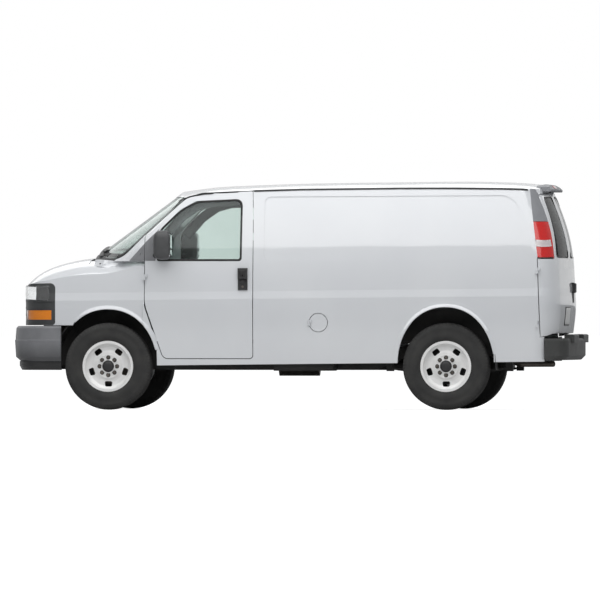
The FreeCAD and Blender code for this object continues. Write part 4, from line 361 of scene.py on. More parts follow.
def roundCorners(corners, radius, steps=6):
    # each corner P becomes (1-t)(1-t)A + 2t(1-t)P + t t B, with A and B one radius along its two sides
    p, back, ahead = cornerSides(corners)
    lengthBack = np.linalg.norm(back, axis=1, keepdims=True)
    lengthAhead = np.linalg.norm(ahead, axis=1, keepdims=True)
    r = np.minimum(np.broadcast_to(np.asarray(radius, float).reshape(-1, 1), lengthBack.shape),
                   np.minimum(lengthBack, lengthAhead) * 0.45)
    a = p + back / lengthBack * r
    b = p + ahead / lengthAhead * r
    t = np.linspace(0, 1, steps)[None, :, None]
    return ((1 - t) ** 2 * a[:, None] + 2 * t * (1 - t) * p[:, None] + t ** 2 * b[:, None]).reshape(-1, 2)


def insetCorners(corners, width):
    # each side moves inwards: a corner moves along the sum of its two side directions
    p, back, ahead = cornerSides(corners)
    back /= np.linalg.norm(back, axis=1, keepdims=True)
    ahead /= np.linalg.norm(ahead, axis=1, keepdims=True)
    turn = ahead[:, 0] * back[:, 1] - ahead[:, 1] * back[:, 0]
    area = np.sum(p[:, 0] * np.roll(p[:, 1], -1) - np.roll(p[:, 0], -1) * p[:, 1])
    return p + (back + ahead) * (np.sign(area) * width / turn)[:, None]


def rectangle(u, w, halfU, halfW):
    return [(u - halfU, w - halfW), (u + halfU, w - halfW), (u + halfU, w + halfW), (u - halfU, w + halfW)]


def spread(flat, axis, depth):
    # outline points (u, w) in space: (u, depth, w) on a side, (depth, u, w) in front and at the rear
    u, w = flat[..., 0], flat[..., 1]
    return stacked(u, depth, w) if axis == "y" else stacked(depth, u, w)


def bake(piece):
    view = bpy.context.evaluated_depsgraph_get()
    laid = bpy.data.meshes.new_from_object(piece.evaluated_get(view))
    piece.modifiers.clear()
    piece.data = laid
    return piece


def readMesh(rows, name, width=3):
    # a value of a mesh's vertices, faces or corners, as an array
    values = np.empty(len(rows) * width, np.float32)
    rows.foreach_get(name, values)
    return values.reshape(-1, width)


def pointsOf(piece):
    return readMesh(piece.data.vertices, "co")


def setPoints(piece, points):
    piece.data.vertices.foreach_set("co", np.asarray(points, np.float32).ravel())
    piece.data.update()


def faceTowards(piece, axis, way):
    if readMesh(piece.data.polygons, "normal").mean(0)["xyz".index(axis)] * way < 0:
        piece.data.flip_normals()
    return piece


def turnOut(piece):
    # the sum of each face's centre times its normal is the volume's sign
    faces = piece.data.polygons
    centres = readMesh(faces, "center")
    out = np.sum((centres - centres.mean(0)) * readMesh(faces, "normal"), 1)
    if np.sum(out * readMesh(faces, "area", 1)[:, 0]) < 0:
        piece.data.flip_normals()
    return piece


def gridPiece(name, points, finish, body, loopRows=False, loopColumns=False, smooth=True):
    return place(name, points, gridFaces(*points.shape[:2], loopRows, loopColumns), finish, body, smooth)


def closedPiece(name, points, finish, body):
    return turnOut(place(name, points, closedFaces(*points.shape[:2]), finish, body))


def drape(piece, targets, axis, lift, way, nearest=False, reach=0.5):
    # lays a sheet on the outside of one node or more, a little above the skin
    start = pointsOf(piece)
    laid = start.copy()
    k = "xyz".index(axis)
    missed = np.full(len(start), True)
    for target in targets if isinstance(targets, list) else [targets]:
        setPoints(piece, start)
        wrap = piece.modifiers.new("wrap", "SHRINKWRAP")
        wrap.target = nodes[target] if isinstance(target, str) else target
        wrap.offset = lift
        if nearest:
            wrap.wrap_method = "NEAREST_SURFACEPOINT"
            wrap.wrap_mode = "ABOVE_SURFACE"
        else:
            wrap.wrap_method = "PROJECT"
            wrap.use_project_x, wrap.use_project_y, wrap.use_project_z = axis == "x", axis == "y", axis == "z"
            wrap.use_negative_direction = wrap.use_positive_direction = True
            wrap.project_limit = reach
        bake(piece)
        moved = pointsOf(piece)
        met = np.abs(moved[:, k] - start[:, k]) > 1e-5
        take = met & missed | met & (np.abs(moved[:, k]) > np.abs(laid[:, k]) + 1e-5)
        laid[take] = moved[take]
        missed &= ~met
    if not nearest and missed.any() and not missed.all():
        # a point beyond every node's edge takes the depth of the nearest point that met one
        others = [n for n in range(3) if n != k]
        gap = laid[missed][:, None, others] - laid[~missed][None][:, :, others]
        laid[missed, k] = laid[~missed][np.argmin(np.sum(gap ** 2, -1), 1), k]
    setPoints(piece, laid)
    return faceTowards(piece, axis, way)


def thicken(piece, thickness, bevel=0.0, offset=1.0):
    # offset 1 builds outwards from the sheet and -1 inwards
    shell = piece.modifiers.new("thickness", "SOLIDIFY")
    shell.thickness = thickness
    shell.offset = offset
    if bevel:
        edge = piece.modifiers.new("edge", "BEVEL")
        edge.width = bevel
        edge.segments = 2
        edge.limit_method = "ANGLE"
        edge.angle_limit = math.radians(50)
    return piece


# Sheets start out beyond the skin, at these depths, and are laid on a node from there; lay: lift, thickness, bevel
outside = {"side": ("y", 1.1), "handle": ("y", 1.2), "glass": ("x", 2.8), "rear": ("x", 2.9), "shield": ("x", 2.2),
           "mirror": ("x", -0.9)}


def sheetPiece(name, x, z, way, targets, lift, reach=0.5, finish="whiteEnamel"):
    axis, depth = outside["side"]
    piece = gridPiece(name, stacked(x, way * depth, z), finish, "body")
    return drape(piece, targets, axis, lift, way, reach=reach)


def ringPiece(name, outer, inner, where, way, node, lay, finish, body, rows=3, reach=0.5):
    # a band between two outlines with as many points
    axis, depth = outside[where]
    points = spread(between(outer, inner, rows), axis, way * depth)
    piece = gridPiece(name, points, finish, body, loopColumns=True)
    return thicken(drape(piece, node, axis, lay[0], way, reach=reach), *lay[1:])


def platePiece(name, outline, where, way, node, lay, finish, body, rings=7):
    # the outline shrinks towards the middle, ring by ring, and ends in one closed face
    axis, depth = outside[where]
    share = np.linspace(1, 0.12, rings)[:, None, None]
    middle = outline.mean(0)
    count = len(outline)
    faces = gridFaces(rings, count, loopColumns=True).tolist()
    faces.append([(rings - 1) * count + k for k in range(count)])
    piece = place(name, spread(middle + (outline[None] - middle) * share, axis, way * depth), faces, finish, body)
    return thicken(drape(piece, node, axis, lay[0], way, reach=0.8), *lay[1:])


def bandPiece(name, line, low, high, node, lay, finish, way, rows=4):
    # a strip round a corner: a line in plan, carried up from one height to another
    piece = gridPiece(name, stacked(*line.T, np.linspace(low, high, rows)[:, None]), finish, "body")
    return thicken(drape(piece, node, "y", lay[0], way, nearest=True), *lay[1:])


def turned(profile, count, centre, side, phase=None):
    # a profile of (radius, distance along the axle) turned about y; phase adds to the radius
    angle = np.linspace(0, 2 * np.pi, count, endpoint=False)[:, None]
    profile = np.asarray(profile, float)
    radius = profile[None, :, 0] + (0 if phase is None else phase(angle, profile[None]))
    x, y, z = centre
    return stacked(x + radius * np.sin(angle), y + side * profile[None, :, 1], z + radius * np.cos(angle))


# Tyres: worn all-season tread with five ribs and shoulder blocks
tyre = {"turns": 480, "blocks": 80, "groove": 0.0075, "radius": 0.407, "half": 0.1225, "bead": 0.224,
        "tread": 0.8, "ribs": (-0.52, -0.17, 0.17, 0.52), "ribHalf": 0.035, "sipe": 0.2, "sipeDepth": 0.55,
        "sipeLean": 1.3, "notch": 0.34, "notchDepth": 0.0035, "crown": 0.76, "crownDrop": 0.0055,
        # distances out from the bead and in from the tread, with shares of the half width
        "flank": [(0, 0.74), (0.006, 0.82), (0.012, 0.86), (0.02, 0.885), (0.022, 0.91), (0.03, 0.915),
                  (0.033, 0.94), (0.055, 0.985), (0.08, 0.999), (0.083, 0.992), (0.1, 0.99)],
        "shoulder": [(0.062, 0.975), (0.058, 0.985), (0.045, 0.972), (0.038, 0.962), (0.026, 0.93), (0.016, 0.885),
                     (0.01, 0.84), (0.0065, 0.79)]}
wheels = {"front_left": (-1.693, -1), "front_right": (-1.693, 1), "rear_left": (1.476, -1), "rear_right": (1.476, 1)}


def treadDepth(angle, profile):
    # grooves run round between the ribs; sipes cross the ribs and lean with the distance from the middle
    across = profile[..., 1] / tyre["half"]
    tread = (np.abs(across) < tyre["tread"]) & (profile[..., 0] > tyre["radius"] - 0.02)
    shoulder = (np.abs(across) >= tyre["tread"]) & (profile[..., 0] > tyre["radius"] - 0.045)
    groove = np.minimum.reduce([np.abs(across - k) for k in tyre["ribs"]]) < tyre["ribHalf"]
    turn = angle / (2 * np.pi) * tyre["blocks"]
    sipe = (turn + across * tyre["sipeLean"]) % 1.0 < tyre["sipe"]
    depth = np.where(tread & (groove | sipe), tyre["groove"] * np.where(groove, 1.0, tyre["sipeDepth"]), 0.0)
    return -(depth + np.where(shoulder & (turn % 1.0 < tyre["notch"]), tyre["notchDepth"], 0.0))


def makeTyres():
    w, r, b = tyre["half"], tyre["radius"], tyre["bead"]
    side = np.array([(b + out, w * share) for out, share in tyre["flank"]]
                    + [(r - down, w * share) for down, share in tyre["shoulder"]])
    crown = np.linspace(tyre["crown"], -tyre["crown"], 45)
    tread = np.stack([r - tyre["crownDrop"] * (crown / tyre["crown"]) ** 2, w * crown], -1)
    profile = np.concatenate([side, tread, side[::-1] * (1, -1)])
    for where, (x, way) in wheels.items():
        low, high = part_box("tyre_" + where)
        points = turned(profile, tyre["turns"], (x, (low.y + high.y) / 2, r), way, treadDepth)
        piece = gridPiece("tyreTread_" + where, points, "rubber", "wheel_" + where, True, True)
        if way > 0:
            piece.data.flip_normals()
        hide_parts("tyre_" + where)


# Wheels: eight nuts, each on a near-black disc that is painted shade for the pit round it, and a plain dark cap with a
# bright ring, as (radius, distance out)
hub = {"boltRadius": 0.0825, "nuts": 8,
       "hubCap": [(0.0004, 0.03), (0.02, 0.0295), (0.036, 0.027), (0.046, 0.022), (0.052, 0.014), (0.0545, 0.0)],
       "capRing": [(0.0562, 0.0), (0.0562, 0.013), (0.058, 0.016), (0.062, 0.016), (0.0645, 0.013), (0.0665, 0.0)],
       "hubRing": [(0.0665, 0.0006), (0.1, 0.0006), (0.106, 0.003), (0.112, 0.003), (0.116, 0.0)],
       "nutPitShade": [(0.0004, 0.0012), (0.0195, 0.0012), (0.0205, 0.0004)],
       "nut": [(0.0004, 0.024), (0.01, 0.024), (0.0145, 0.02), (0.015, 0.0)]}


def turnedPiece(part, where, number, count, centre, finish, smooth=True):
    way = wheels[where][1]
    piece = gridPiece(part + "_" + where + number, turned(hub[part], count, centre, way), finish, "wheel_" + where,
                      loopRows=True, smooth=smooth)
    faceTowards(piece, "y", way)


def makeHubs():
    for where, (x, way) in wheels.items():
        # the middle of the solid rim stands as far out as its own points near the bolt circle
        co = pointsOf(nodes["rim_" + where])
        near = np.abs(np.hypot(co[:, 0] - x, co[:, 2] - tyre["radius"]) - 0.09) < 0.03
        axle = np.array([x, way * np.max(way * co[near, 1]), tyre["radius"]])
        for part, count, finish in (("hubCap", 64, "capBlack"), ("capRing", 64, "wheelSilver"),
                                    ("hubRing", 96, "wheelSilver")):
            turnedPiece(part, where, "", count, axle, finish)
        for k in range(hub["nuts"]):
            angle = k / hub["nuts"] * 2 * np.pi
            at = axle + hub["boltRadius"] * np.array([np.sin(angle), 0, np.cos(angle)])
            # a flat near-black disc under each nut: painted shade for the pit it sits in
            turnedPiece("nutPitShade", where, "_%d" % k, 24, at, "rubber")
            turnedPiece("nut", where, "_%d" % k, 6, at, "rawSteel", smooth=False)


# Window seals: black rubber round each pane, on the glass just inside its opening
seals = {"side": 0.02, "rear": 0.016, "shield": 0.034, "gap": 0.001, "lay": (0.0015, 0.003, 0.001),
         "rearRadii": (0.058, 0.046), "sideInner": 0.008, "shieldGap": 0.002, "shieldLay": (0.0004, 0.0008)}
sideWindow = [(-1.194, 1.7), (-1.025, 1.868), (-0.875, 1.952), (-0.435, 1.972), (-0.435, 1.388), (-1.234, 1.388),
              (-1.234, 1.632)]
sideRadii = [0.02, 0.12, 0.12, 0.07, 0.03, 0.02, 0.02]
rearWindow = [(0.128, 1.417), (0.128, 2.000), (0.69, 1.985), (0.85, 1.417)]
shieldOutline = [(-0.915, 1.412), (-0.808, 1.986), (0.808, 1.986), (0.915, 1.412), (0.47, 1.4435), (0.0, 1.458),
                 (-0.47, 1.4435)]
shieldRadii = [0.05, 0.06, 0.06, 0.05, 0.3, 0.3, 0.3]


def makeSeals():
    outer = roundCorners(insetCorners(sideWindow, seals["gap"]), sideRadii)
    inner = roundCorners(insetCorners(sideWindow, seals["side"]),
                         np.maximum(np.array(sideRadii) - seals["side"] / 2, seals["sideInner"]))
    for side, way in sides:
        ringPiece("windowSeal_front_" + side, outer, inner, "side", way, "front_glass_" + side, seals["lay"], "seal",
                  "front_door_" + side)
    for side, way in sides:
        corners = [(way * y, z) for y, z in rearWindow]
        outer, inner = [roundCorners(insetCorners(corners, width), radius)
                        for width, radius in zip((seals["gap"], seals["rear"]), seals["rearRadii"])]
        ringPiece("windowSeal_rear_" + side, outer, inner, "glass", 1, "rear_glass_" + side, seals["lay"], "seal",
                  "rear_door_" + side, reach=0.8)
    outer, inner = [roundCorners(insetCorners(shieldOutline, width), shieldRadii)
                    for width in (seals["shieldGap"], seals["shield"])]
    ringPiece("windshieldBand", outer, inner, "shield", -1, "windshield", seals["shieldLay"], "seal", "body", rows=4,
              reach=1.6)


# Cab lining: dark trim inside the roof's edge and the pillar, seen through the side windows
lining = {"outer": [(-1.2, 1.66), (-1.05, 1.83), (-0.9, 1.93), (-0.76, 1.965), (-0.43, 1.985)],
          "inner": [(-1.135, 1.6), (-0.985, 1.77), (-0.855, 1.862), (-0.73, 1.897), (-0.43, 1.905)],
          "y": (0.845, 0.79), "z": (1.6, 1.97)}


def alongLine(corners, count):
    # points spread over a line of corners, as many on each stretch
    corners = np.asarray(corners, float)
    t, at = np.linspace(0, 1, count), np.linspace(0, 1, len(corners))
    return np.stack([np.interp(t, at, column) for column in corners.T], -1)


def makeLinings():
    flat = between(*[alongLine(lining[line], 40) for line in ("outer", "inner")], 6)
    for side, way in sides:
        points = stacked(flat[..., 0], np.interp(flat[..., 1], lining["z"], lining["y"]) * way, flat[..., 1])
        piece = gridPiece("cabLining_" + side, points, "cabPlastic", "body")
        thicken(faceTowards(piece, "y", way), 0.006, 0.002)


# Wheel openings: the skins are trimmed to one smooth arch, with a raised lip round it. front and rear are its middle,
# half width and top, keep is where there is skin, and Fill and Lip are (front width, rear width, height, lip's height,
# fall outwards, its power, sinking at the feet)
lips = {"front": (-1.693, 0.462, 0.938), "rear": (1.476, 0.452, 0.958), "power": 0.95, "points": 90, "rows": 9,
        "keep": (slice(24, 79), slice(5, 85)), "y": (0.925, 1.1), "sill": 0.25, "fade": 9.0, "fadePower": 0.7,
        "grow": 0.001, "lift": 0.0002, "thick": 0.002, "Fill": (0.046, 0.085, 0.0008, 0.0, 0.0024, 3, 0.0012),
        "Lip": (0.04, 0.04, 0.0, 0.011, 0.0006, 4, 0.0014)}


def archLine(centreX, half, topZ, grow):
    # half a turn: x = half * cos^p, z = rise * sin^p, from the front foot over the top to the rear foot
    turn = np.linspace(0.02, np.pi - 0.02, lips["points"])
    rise = topZ - tyre["radius"] + grow
    x = centreX - (half + grow) * np.sign(np.cos(turn)) * np.abs(np.cos(turn)) ** lips["power"]
    z = tyre["radius"] + rise * np.abs(np.sin(turn)) ** lips["power"]
    return np.stack([x, z], -1)


def archPrism(end, way):
    # the arch's outline, closed below the sill, carried from inside the skin to outside it
    line = archLine(*lips[end], 0.0)
    line = np.concatenate([[[line[0, 0], lips["sill"]]], line, [[line[-1, 0], lips["sill"]]]])
    mesh = bpy.data.meshes.new("archPrism")
    points = np.concatenate([spread(line, "y", way * depth) for depth in lips["y"]])
    mesh.from_pydata(points.tolist(), [], closedFaces(2, len(line)))
    solid = bmesh.new()
    solid.from_mesh(mesh)
    bmesh.ops.recalc_face_normals(solid, faces=solid.faces)
    solid.to_mesh(mesh)
    solid.free()
    return linked("archPrism", mesh)


def trimmedCopy(node, name, cutters):
    # a merged copy of a node with the arches cut away; the skin keeps its own normals through the cut, and the new
    # edges get theirs from their faces
    mesh = nodes[node].data.copy()
    kept = mesh.attributes.new("skinNormal", "FLOAT_VECTOR", "CORNER")
    kept.data.foreach_set("vector", readMesh(mesh.corner_normals, "vector").ravel())
    solid = bmesh.new()
    solid.from_mesh(mesh)
    bmesh.ops.remove_doubles(solid, verts=solid.verts, dist=1e-5)
    solid.to_mesh(mesh)
    solid.free()
    mesh.name = name
    mesh.materials.clear()
    mesh.materials.append(finishes["whiteEnamel"])
    piece = linked(name, mesh)
    for end, way in cutters:
        prism = archPrism(end, way)
        cut = piece.modifiers.new("cut", "BOOLEAN")
        cut.operation = "DIFFERENCE"
        cut.solver = "EXACT"
        cut.object = prism
        bake(piece)
        bpy.data.objects.remove(prism)
    mesh = piece.data
    mesh.polygons.foreach_set("use_smooth", np.full(len(mesh.polygons), True))
    mesh.normals_split_custom_set(readMesh(mesh.attributes["skinNormal"].data, "vector").tolist())
    mesh.attributes.remove(mesh.attributes["skinNormal"])
    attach(piece, "body")
    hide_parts(node)


def makeArches():
    trimmedCopy("front_fenders", "fenderPair", [("front", way) for side, way in sides])
    for side, way in sides:
        trimmedCopy("body_side_" + side, "bodySide_" + side, [("rear", way)])


# Fender foot: the painted strip between the front wheel opening and the door's slanted edge
foot = {"top": 1.000, "low": 0.56, "gap": 0.007, "doorX": -1.344, "kinkZ": 0.985, "footX": -1.17, "footZ": 0.482,
        "ease": 0.04, "overlap": 0.012, "least": 0.001, "shift": 0.28, "lift": 0.0008, "thick": 0.004}


def makeFenderFeet():
    z = np.linspace(foot["top"], foot["low"], 40)
    fall = np.clip((foot["kinkZ"] - z) / (foot["kinkZ"] - foot["footZ"]), 0, 1)
    # the door's edge: straight down, then eased into a slant to its foot
    slant = np.sqrt(fall ** 2 + foot["ease"] ** 2) - foot["ease"]
    edge = foot["doorX"] + (foot["footX"] - foot["doorX"]) * slant - foot["gap"]
    centreX, half, topZ = lips["front"]
    up = np.clip((z - tyre["radius"]) / (topZ - tyre["radius"]), 0, 1) ** (1 / lips["power"])
    arch = centreX + half * np.sqrt(1 - up ** 2) ** lips["power"]
    inner = np.maximum(arch, foot["doorX"] - foot["gap"] - foot["overlap"])
    x = between(inner, np.maximum(edge, inner + foot["least"]), 8)
    for side, way in sides:
        # the strip takes the belly's curve from the door beside it, and is then moved back to its place
        piece = sheetPiece("fenderFoot_" + side, x + foot["shift"], z, way, "front_door_" + side, foot["lift"])
        setPoints(piece, pointsOf(piece) - (foot["shift"], 0, 0))
        thicken(piece, foot["thick"], offset=-1.0)


# Fender crown: the fender's top edge, carried up from a low to a high line, to the cowl and the pillar's foot
crown = {"x": [-1.84, -1.8, -1.72, -1.64, -1.56, -1.352], "low": [1.35, 1.335, 1.325, 1.325, 1.325, 1.325],
         "high": [1.404, 1.405, 1.399, 1.39, 1.3865, 1.3862], "lift": 0.0008, "thick": 0.003, "smoothings": 12,
         "bellAt": (-1.775, 1.368), "bellSize": (0.055, 0.028), "bell": 0.016,
         "strip": [(-1.359, 1.39), (-1.337, 1.39), (-1.337, 1.56), (-1.359, 1.56)], "stripY": 0.905}


def makeCrowns():
    x = np.linspace(crown["x"][0], crown["x"][-1], 50)
    z = between(*[np.interp(x, crown["x"], crown[line]) for line in ("low", "high")], 10)
    for side, way in sides:
        piece = sheetPiece("fenderCrown_" + side, x, z, way, "front_fenders", crown["lift"], 0.35)
        laid = pointsOf(piece).reshape(10, 50, 3)
        depth = laid[..., 1]
        for smoothing in range(crown["smoothings"]):
            # each inner point's depth goes half way to the mean of its four neighbours
            mean = (depth[:-2, 1:-1] + depth[2:, 1:-1] + depth[1:-1, :-2] + depth[1:-1, 2:]) / 4
            depth[1:-1, 1:-1] += 0.5 * (mean - depth[1:-1, 1:-1])
            depth[-1] = depth[-2]
        # a low swelling over the cowl's end: a bell curve of the distance from it
        off = [((laid[..., axis] - crown["bellAt"][k]) / crown["bellSize"][k]) ** 2 for k, axis in enumerate((0, 2))]
        depth += way * crown["bell"] * np.exp(-off[0] - off[1])
        setPoints(piece, laid)
        thicken(piece, crown["thick"], offset=-1.0)
        strip = spread(np.array(crown["strip"]), "y", way * crown["stripY"])
        seal = place("pillarSeal_" + side, strip, [[0, 1, 2, 3]], "seal", "body")
        thicken(faceTowards(seal, "y", way), 0.004)


def makeLips():
    # the lip falls to the skin as a squared cosine, and the fill sinks into the skin
    share = np.linspace(0, 1, lips["rows"])[:, None]
    for k, end in enumerate(("front", "rear")):
        for side, way in sides:
            targets = ["body_side_" + side] if k else ["front_fenders", bpy.data.objects["fenderFoot_" + side]]
            for kind in ("Fill", "Lip"):
                *widths, height, thick, fall, power, sink = lips[kind]
                grow = np.linspace(lips["grow"], widths[k], lips["rows"])
                x, z = np.stack([archLine(*lips[end], g) for g in grow])[:, lips["keep"][k]].transpose(2, 0, 1)
                piece = sheetPiece("arch" + kind + "_" + end + "_" + side, x, z, way, targets, lips["lift"], 0.25)
                laid = pointsOf(piece).reshape(*x.shape, 3)
                # towards both feet the lip sinks into the skin over its last points
                along = np.arange(x.shape[1])
                fade = np.clip(np.minimum(along, along[::-1]) / lips["fade"], 0, 1) ** lips["fadePower"]
                rise = height + thick * fade * np.cos(share * np.pi / 2) ** 2 - fall * share ** power
                laid[..., 1] += way * (rise - sink * (1 - fade))
                setPoints(piece, laid)
                thicken(piece, lips["thick"], offset=-1.0)


# Drip moulding: a raised strip along each side of the roof, in black rubber as painted shadow under the gutter's lip
drip = {"x": [-0.997, -0.94, -0.883, -0.798, -0.723, -0.562, -0.373, 0.1, 0.573, 1.046, 1.519, 1.991, 2.181, 2.23],
        "z": [1.962, 1.985, 1.998, 2.014, 2.018, 2.028, 2.037, 2.051, 2.056, 2.061, 2.061, 2.056, 2.051, 2.046],
        "width": 0.014, "rise": -0.002, "lift": 0.001, "thick": 0.004}


def makeDrip():
    x = np.linspace(drip["x"][0], drip["x"][-1], 160)
    rows = np.interp(x, drip["x"], drip["z"]) + drip["rise"] + np.linspace(0, drip["width"], 4)[:, None]
    for side, way in sides:
        # the strip's black finish is painted shadow under the drip's lip; the raised strip itself is the moulding
        piece = sheetPiece("dripShadowMoulding_" + side, x, rows, way, ["roof", "body_side_" + side], drip["lift"], 0.6, "seal")
        thicken(piece, drip["thick"], 0.001)


# Each band of a headlamp as its stretch of the nose's line, points, heights, lay, finish and rows
lamp = {"rearX": -2.19, "frontX": -2.515, "sideY": 0.985, "innerY": 0.64, "power": 0.62, "bands": {
    "lampReflector": (0.36, 0.86, 30, 1.035, 1.15, (0.0012, 0.002, 0.001), "chrome", 14),
    "lampSideTint": (0.05, 0.34, 16, 1.035, 1.15, (0.0012, 0.002, 0.001), "blackTrim", 10),
    "lampLens": (0.04, 0.96, 40, 1.026, 1.16, (0.007, 0.0035, 0.0012), "lampGlass", 14),
    "lampLedge": (0.01, 0.98, 40, 1.008, 1.017, (0.002, 0.006, 0.002), "lampFrame", 3),
    "turnRim": (0.06, 0.9, 36, 0.934, 0.94, (0.001, 0.004, 0.001), "lampFrame", 2)}}


def noseLine(start, end, count):
    # round the corner from the side, at 0, to the front, at 1: sines and cosines to a power below one
    turn = np.linspace(start, end, count) * np.pi / 2
    x = lamp["rearX"] + (lamp["frontX"] - lamp["rearX"]) * np.sin(turn) ** lamp["power"]
    y = lamp["innerY"] + (lamp["sideY"] - lamp["innerY"]) * np.cos(turn) ** lamp["power"]
    return np.stack([x, y], -1)


def makeHeadlamps():
    for side, way in sides:
        for name, (start, end, count, low, high, lay, finish, rows) in lamp["bands"].items():
            bandPiece(name + "_" + side, noseLine(start, end, count) * (1, way), low, high, "headlamps", lay, finish,
                      way, rows)


# The tail lamps' reversing band goes round the red lens, and a seam closes its foot
tail = {"line": [(2.292, 1.02), (2.34, 1.02), (2.4, 1.01), (2.44, 0.985), (2.47, 0.95), (2.485, 0.92), (2.49, 0.885)],
        "bands": {"reversingBand": (37, 1.536, 1.603, (0.0012, 0.002, 0.001), "clearLens", 5),
                  "lampSeam": (38, 1.42, 1.43, (0.0008, 0.002), "seal", 2)},
        "high": (0.0, 2.082, 0.13, 0.013), "highLay": (0.0006, 0.004, 0.0015)}


def makeTailBands():
    line = alongLine(tail["line"], 40)
    for side, way in sides:
        for name, (last, low, high, lay, finish, rows) in tail["bands"].items():
            bandPiece(name + "_" + side, line[1:last] * (1, way), low, high, "tail_lamps", lay, finish, way, rows)


def makeHighLens():
    outline = roundCorners(rectangle(*tail["high"]), 0.008, 5)
    platePiece("highStopLens", outline, "rear", 1, "high_stop_lamp", tail["highLay"], "redLens", "body", rings=5)


# Sail patches: grey triangles ahead of the door's window, one on the door and one on the pillar
sail = {"door": [(-1.342, 1.393), (-1.342, 1.566), (-1.214, 1.69), (-1.246, 1.63), (-1.246, 1.393)],
        "pillar": [(-1.492, 1.393), (-1.349, 1.393), (-1.349, 1.555)], "lay": (0.0006, 0.004, 0.0015)}


def makeSails():
    for side, way in sides:
        for part, radius, node, body in (("door", 0.008, "front_door_" + side, "front_door_" + side),
                                         ("pillar", 0.006, "windshield_pillars", "body")):
            platePiece("sailPatch_" + part + "_" + side, roundCorners(sail[part], radius, 4), "side", way, node,
                       sail["lay"], "sailPlastic", body, rings=6)


# Mirrors: a rounded housing with a flat back, on a stub arm, with a flat glass over a wide one
mirror = {"centre": (-1.163, 1.106, 1.538), "half": (0.084, 0.106, 0.136), "corner": 0.5, "flat": 0.078,
          "taper": 0.1, "arm": ((-1.232, 0.958, 1.44), (-1.185, 1.07, 1.452)), "armHalf": (0.04, 0.026),
          "armGrow": (1.15, 0.25), "faces": {"flat": (1.575, 0.07), "wide": (1.461, 0.029)}, "faceHalf": 0.078,
          "faceRadius": 0.02, "faceLay": (0.0005, 0.0015, 0.0015)}


def pillow(rows, columns, corner, pole):
    # unit x, y and z of a rounded box: powers of sines and cosines of the angle up and the angle round
    up = np.linspace(-np.pi / 2 + pole, np.pi / 2 - pole, rows)[:, None]
    turn = np.linspace(-np.pi, np.pi, columns, endpoint=False)[None, :]
    x, y, z = [np.sign(wave) * np.abs(wave) ** corner for wave in
               np.broadcast_arrays(np.cos(up), np.cos(turn), np.sin(turn))]
    return x * y, x * z, np.sign(np.sin(up)) * np.abs(np.sin(up)) ** corner + 0 * turn


def makeMirrors():
    x, y, z = pillow(48, 96, mirror["corner"], 0.02)
    bulge = 1 - mirror["taper"] * np.clip(-x, 0, 1) ** 2
    shape = stacked(np.minimum(x * mirror["half"][0], mirror["flat"]), y * bulge * mirror["half"][1],
                    z * bulge * mirror["half"][2])
    around = np.linspace(0, 2 * np.pi, 28, endpoint=False)
    ring = stacked(mirror["armHalf"][0] * np.cos(around), 0.0, mirror["armHalf"][1] * np.sin(around))
    t = np.linspace(0, 1, 8)[:, None, None]
    for side, way in sides:
        body = "front_door_" + side
        centre = np.array(mirror["centre"]) * (1, way, 1)
        housing = closedPiece("mirrorHousing_" + side, shape + centre, "mirrorShell", body)
        housing.data.set_sharp_from_angle(angle=math.radians(40))
        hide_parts("mirror_" + side)
        start, end = np.array(mirror["arm"]) * (1, way, 1)
        arm = start * (1 - t) + end * t + ring[None] * (mirror["armGrow"][0] - mirror["armGrow"][1] * t)
        closedPiece("mirrorArm_" + side, arm, "blackTrim", body)
        for part, (z0, halfZ) in mirror["faces"].items():
            corners = rectangle(centre[1], z0, mirror["faceHalf"], halfZ)
            platePiece("mirrorFace_" + part + "_" + side, roundCorners(corners, mirror["faceRadius"], 5), "mirror", 1,
                       housing, mirror["faceLay"], "mirrorFace", body, rings=4)


# Handles: a paddle over the dark cup, and a key lock below it. Each node has its middle x, side and body; cup and
# paddle are height over the node's foot, half width, half height, corner and lay
handle = {"nodes": {"front_handle_left": (-0.424, -1, "front_door_left"),
                    "front_handle_right": (-0.424, 1, "front_door_right"),
                    "side_door_handle": (0.362, 1, "side_door_front")},
          "cup": (0.139, 0.032, 0.051, 0.014, (0.0004, 0.0012)),
          "paddle": (0.09, 0.026, 0.03, 0.012, (0.0018, 0.005, 0.002)),
          "lock": (0.032, 0.011, (0.0004, 0.003, 0.0008))}


def makeHandles():
    turn = np.linspace(0, 2 * np.pi, 24, endpoint=False)
    for node, (x, way, body) in handle["nodes"].items():
        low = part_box(node)[0].z
        for part, finish in (("cup", "seal"), ("paddle", "blackTrim")):
            rise, halfX, halfZ, radius, lay = handle[part]
            outline = roundCorners(rectangle(x, low + rise, halfX, halfZ), radius, 5)
            platePiece(node + "_" + part, outline, "handle", way, node, lay, finish, body, rings=4)
        rise, radius, lay = handle["lock"]
        lock = np.stack([x + radius * np.cos(turn), low + rise + radius * np.sin(turn)], -1)
        platePiece(node + "_lock", lock, "handle", way, node, lay, "rawSteel", body, rings=3)


# The bare plate on its holder: middle y and z, half sizes, the holder's margin, corners and lays
plate = {"at": (-0.37, 0.875), "half": (0.1525, 0.076), "margin": 0.012, "holderRadius": 0.016, "radius": 0.01,
         "holderLay": (0.0006, 0.004, 0.0015), "lay": (0.0048, 0.0015, 0.0005)}


def makePlate():
    a, b = plate["half"]
    for name, margin, radius, lay, finish in (
            ("plateHolder", plate["margin"], plate["holderRadius"], plate["holderLay"], "blackTrim"),
            ("plateBare", 0.0, plate["radius"], plate["lay"], "platePaint")):
        outline = roundCorners(rectangle(*plate["at"], a + margin, b + margin), radius, 5)
        platePiece(name, outline, "rear", 1, "rear_door_left", lay, finish, "rear_door_left")


# Radiator: the finned core stands on the front cross member and shows through the grille
radiator = {"x": -2.345, "half": 0.52, "low": 0.501, "high": 1.135, "fins": 90, "rows": 60, "fold": 0.004,
            "deep": 0.022, "panelY": (0.516, 0.7), "panelZ": (0.56, 1.125), "panelSet": 0.012, "panelThick": 0.003}


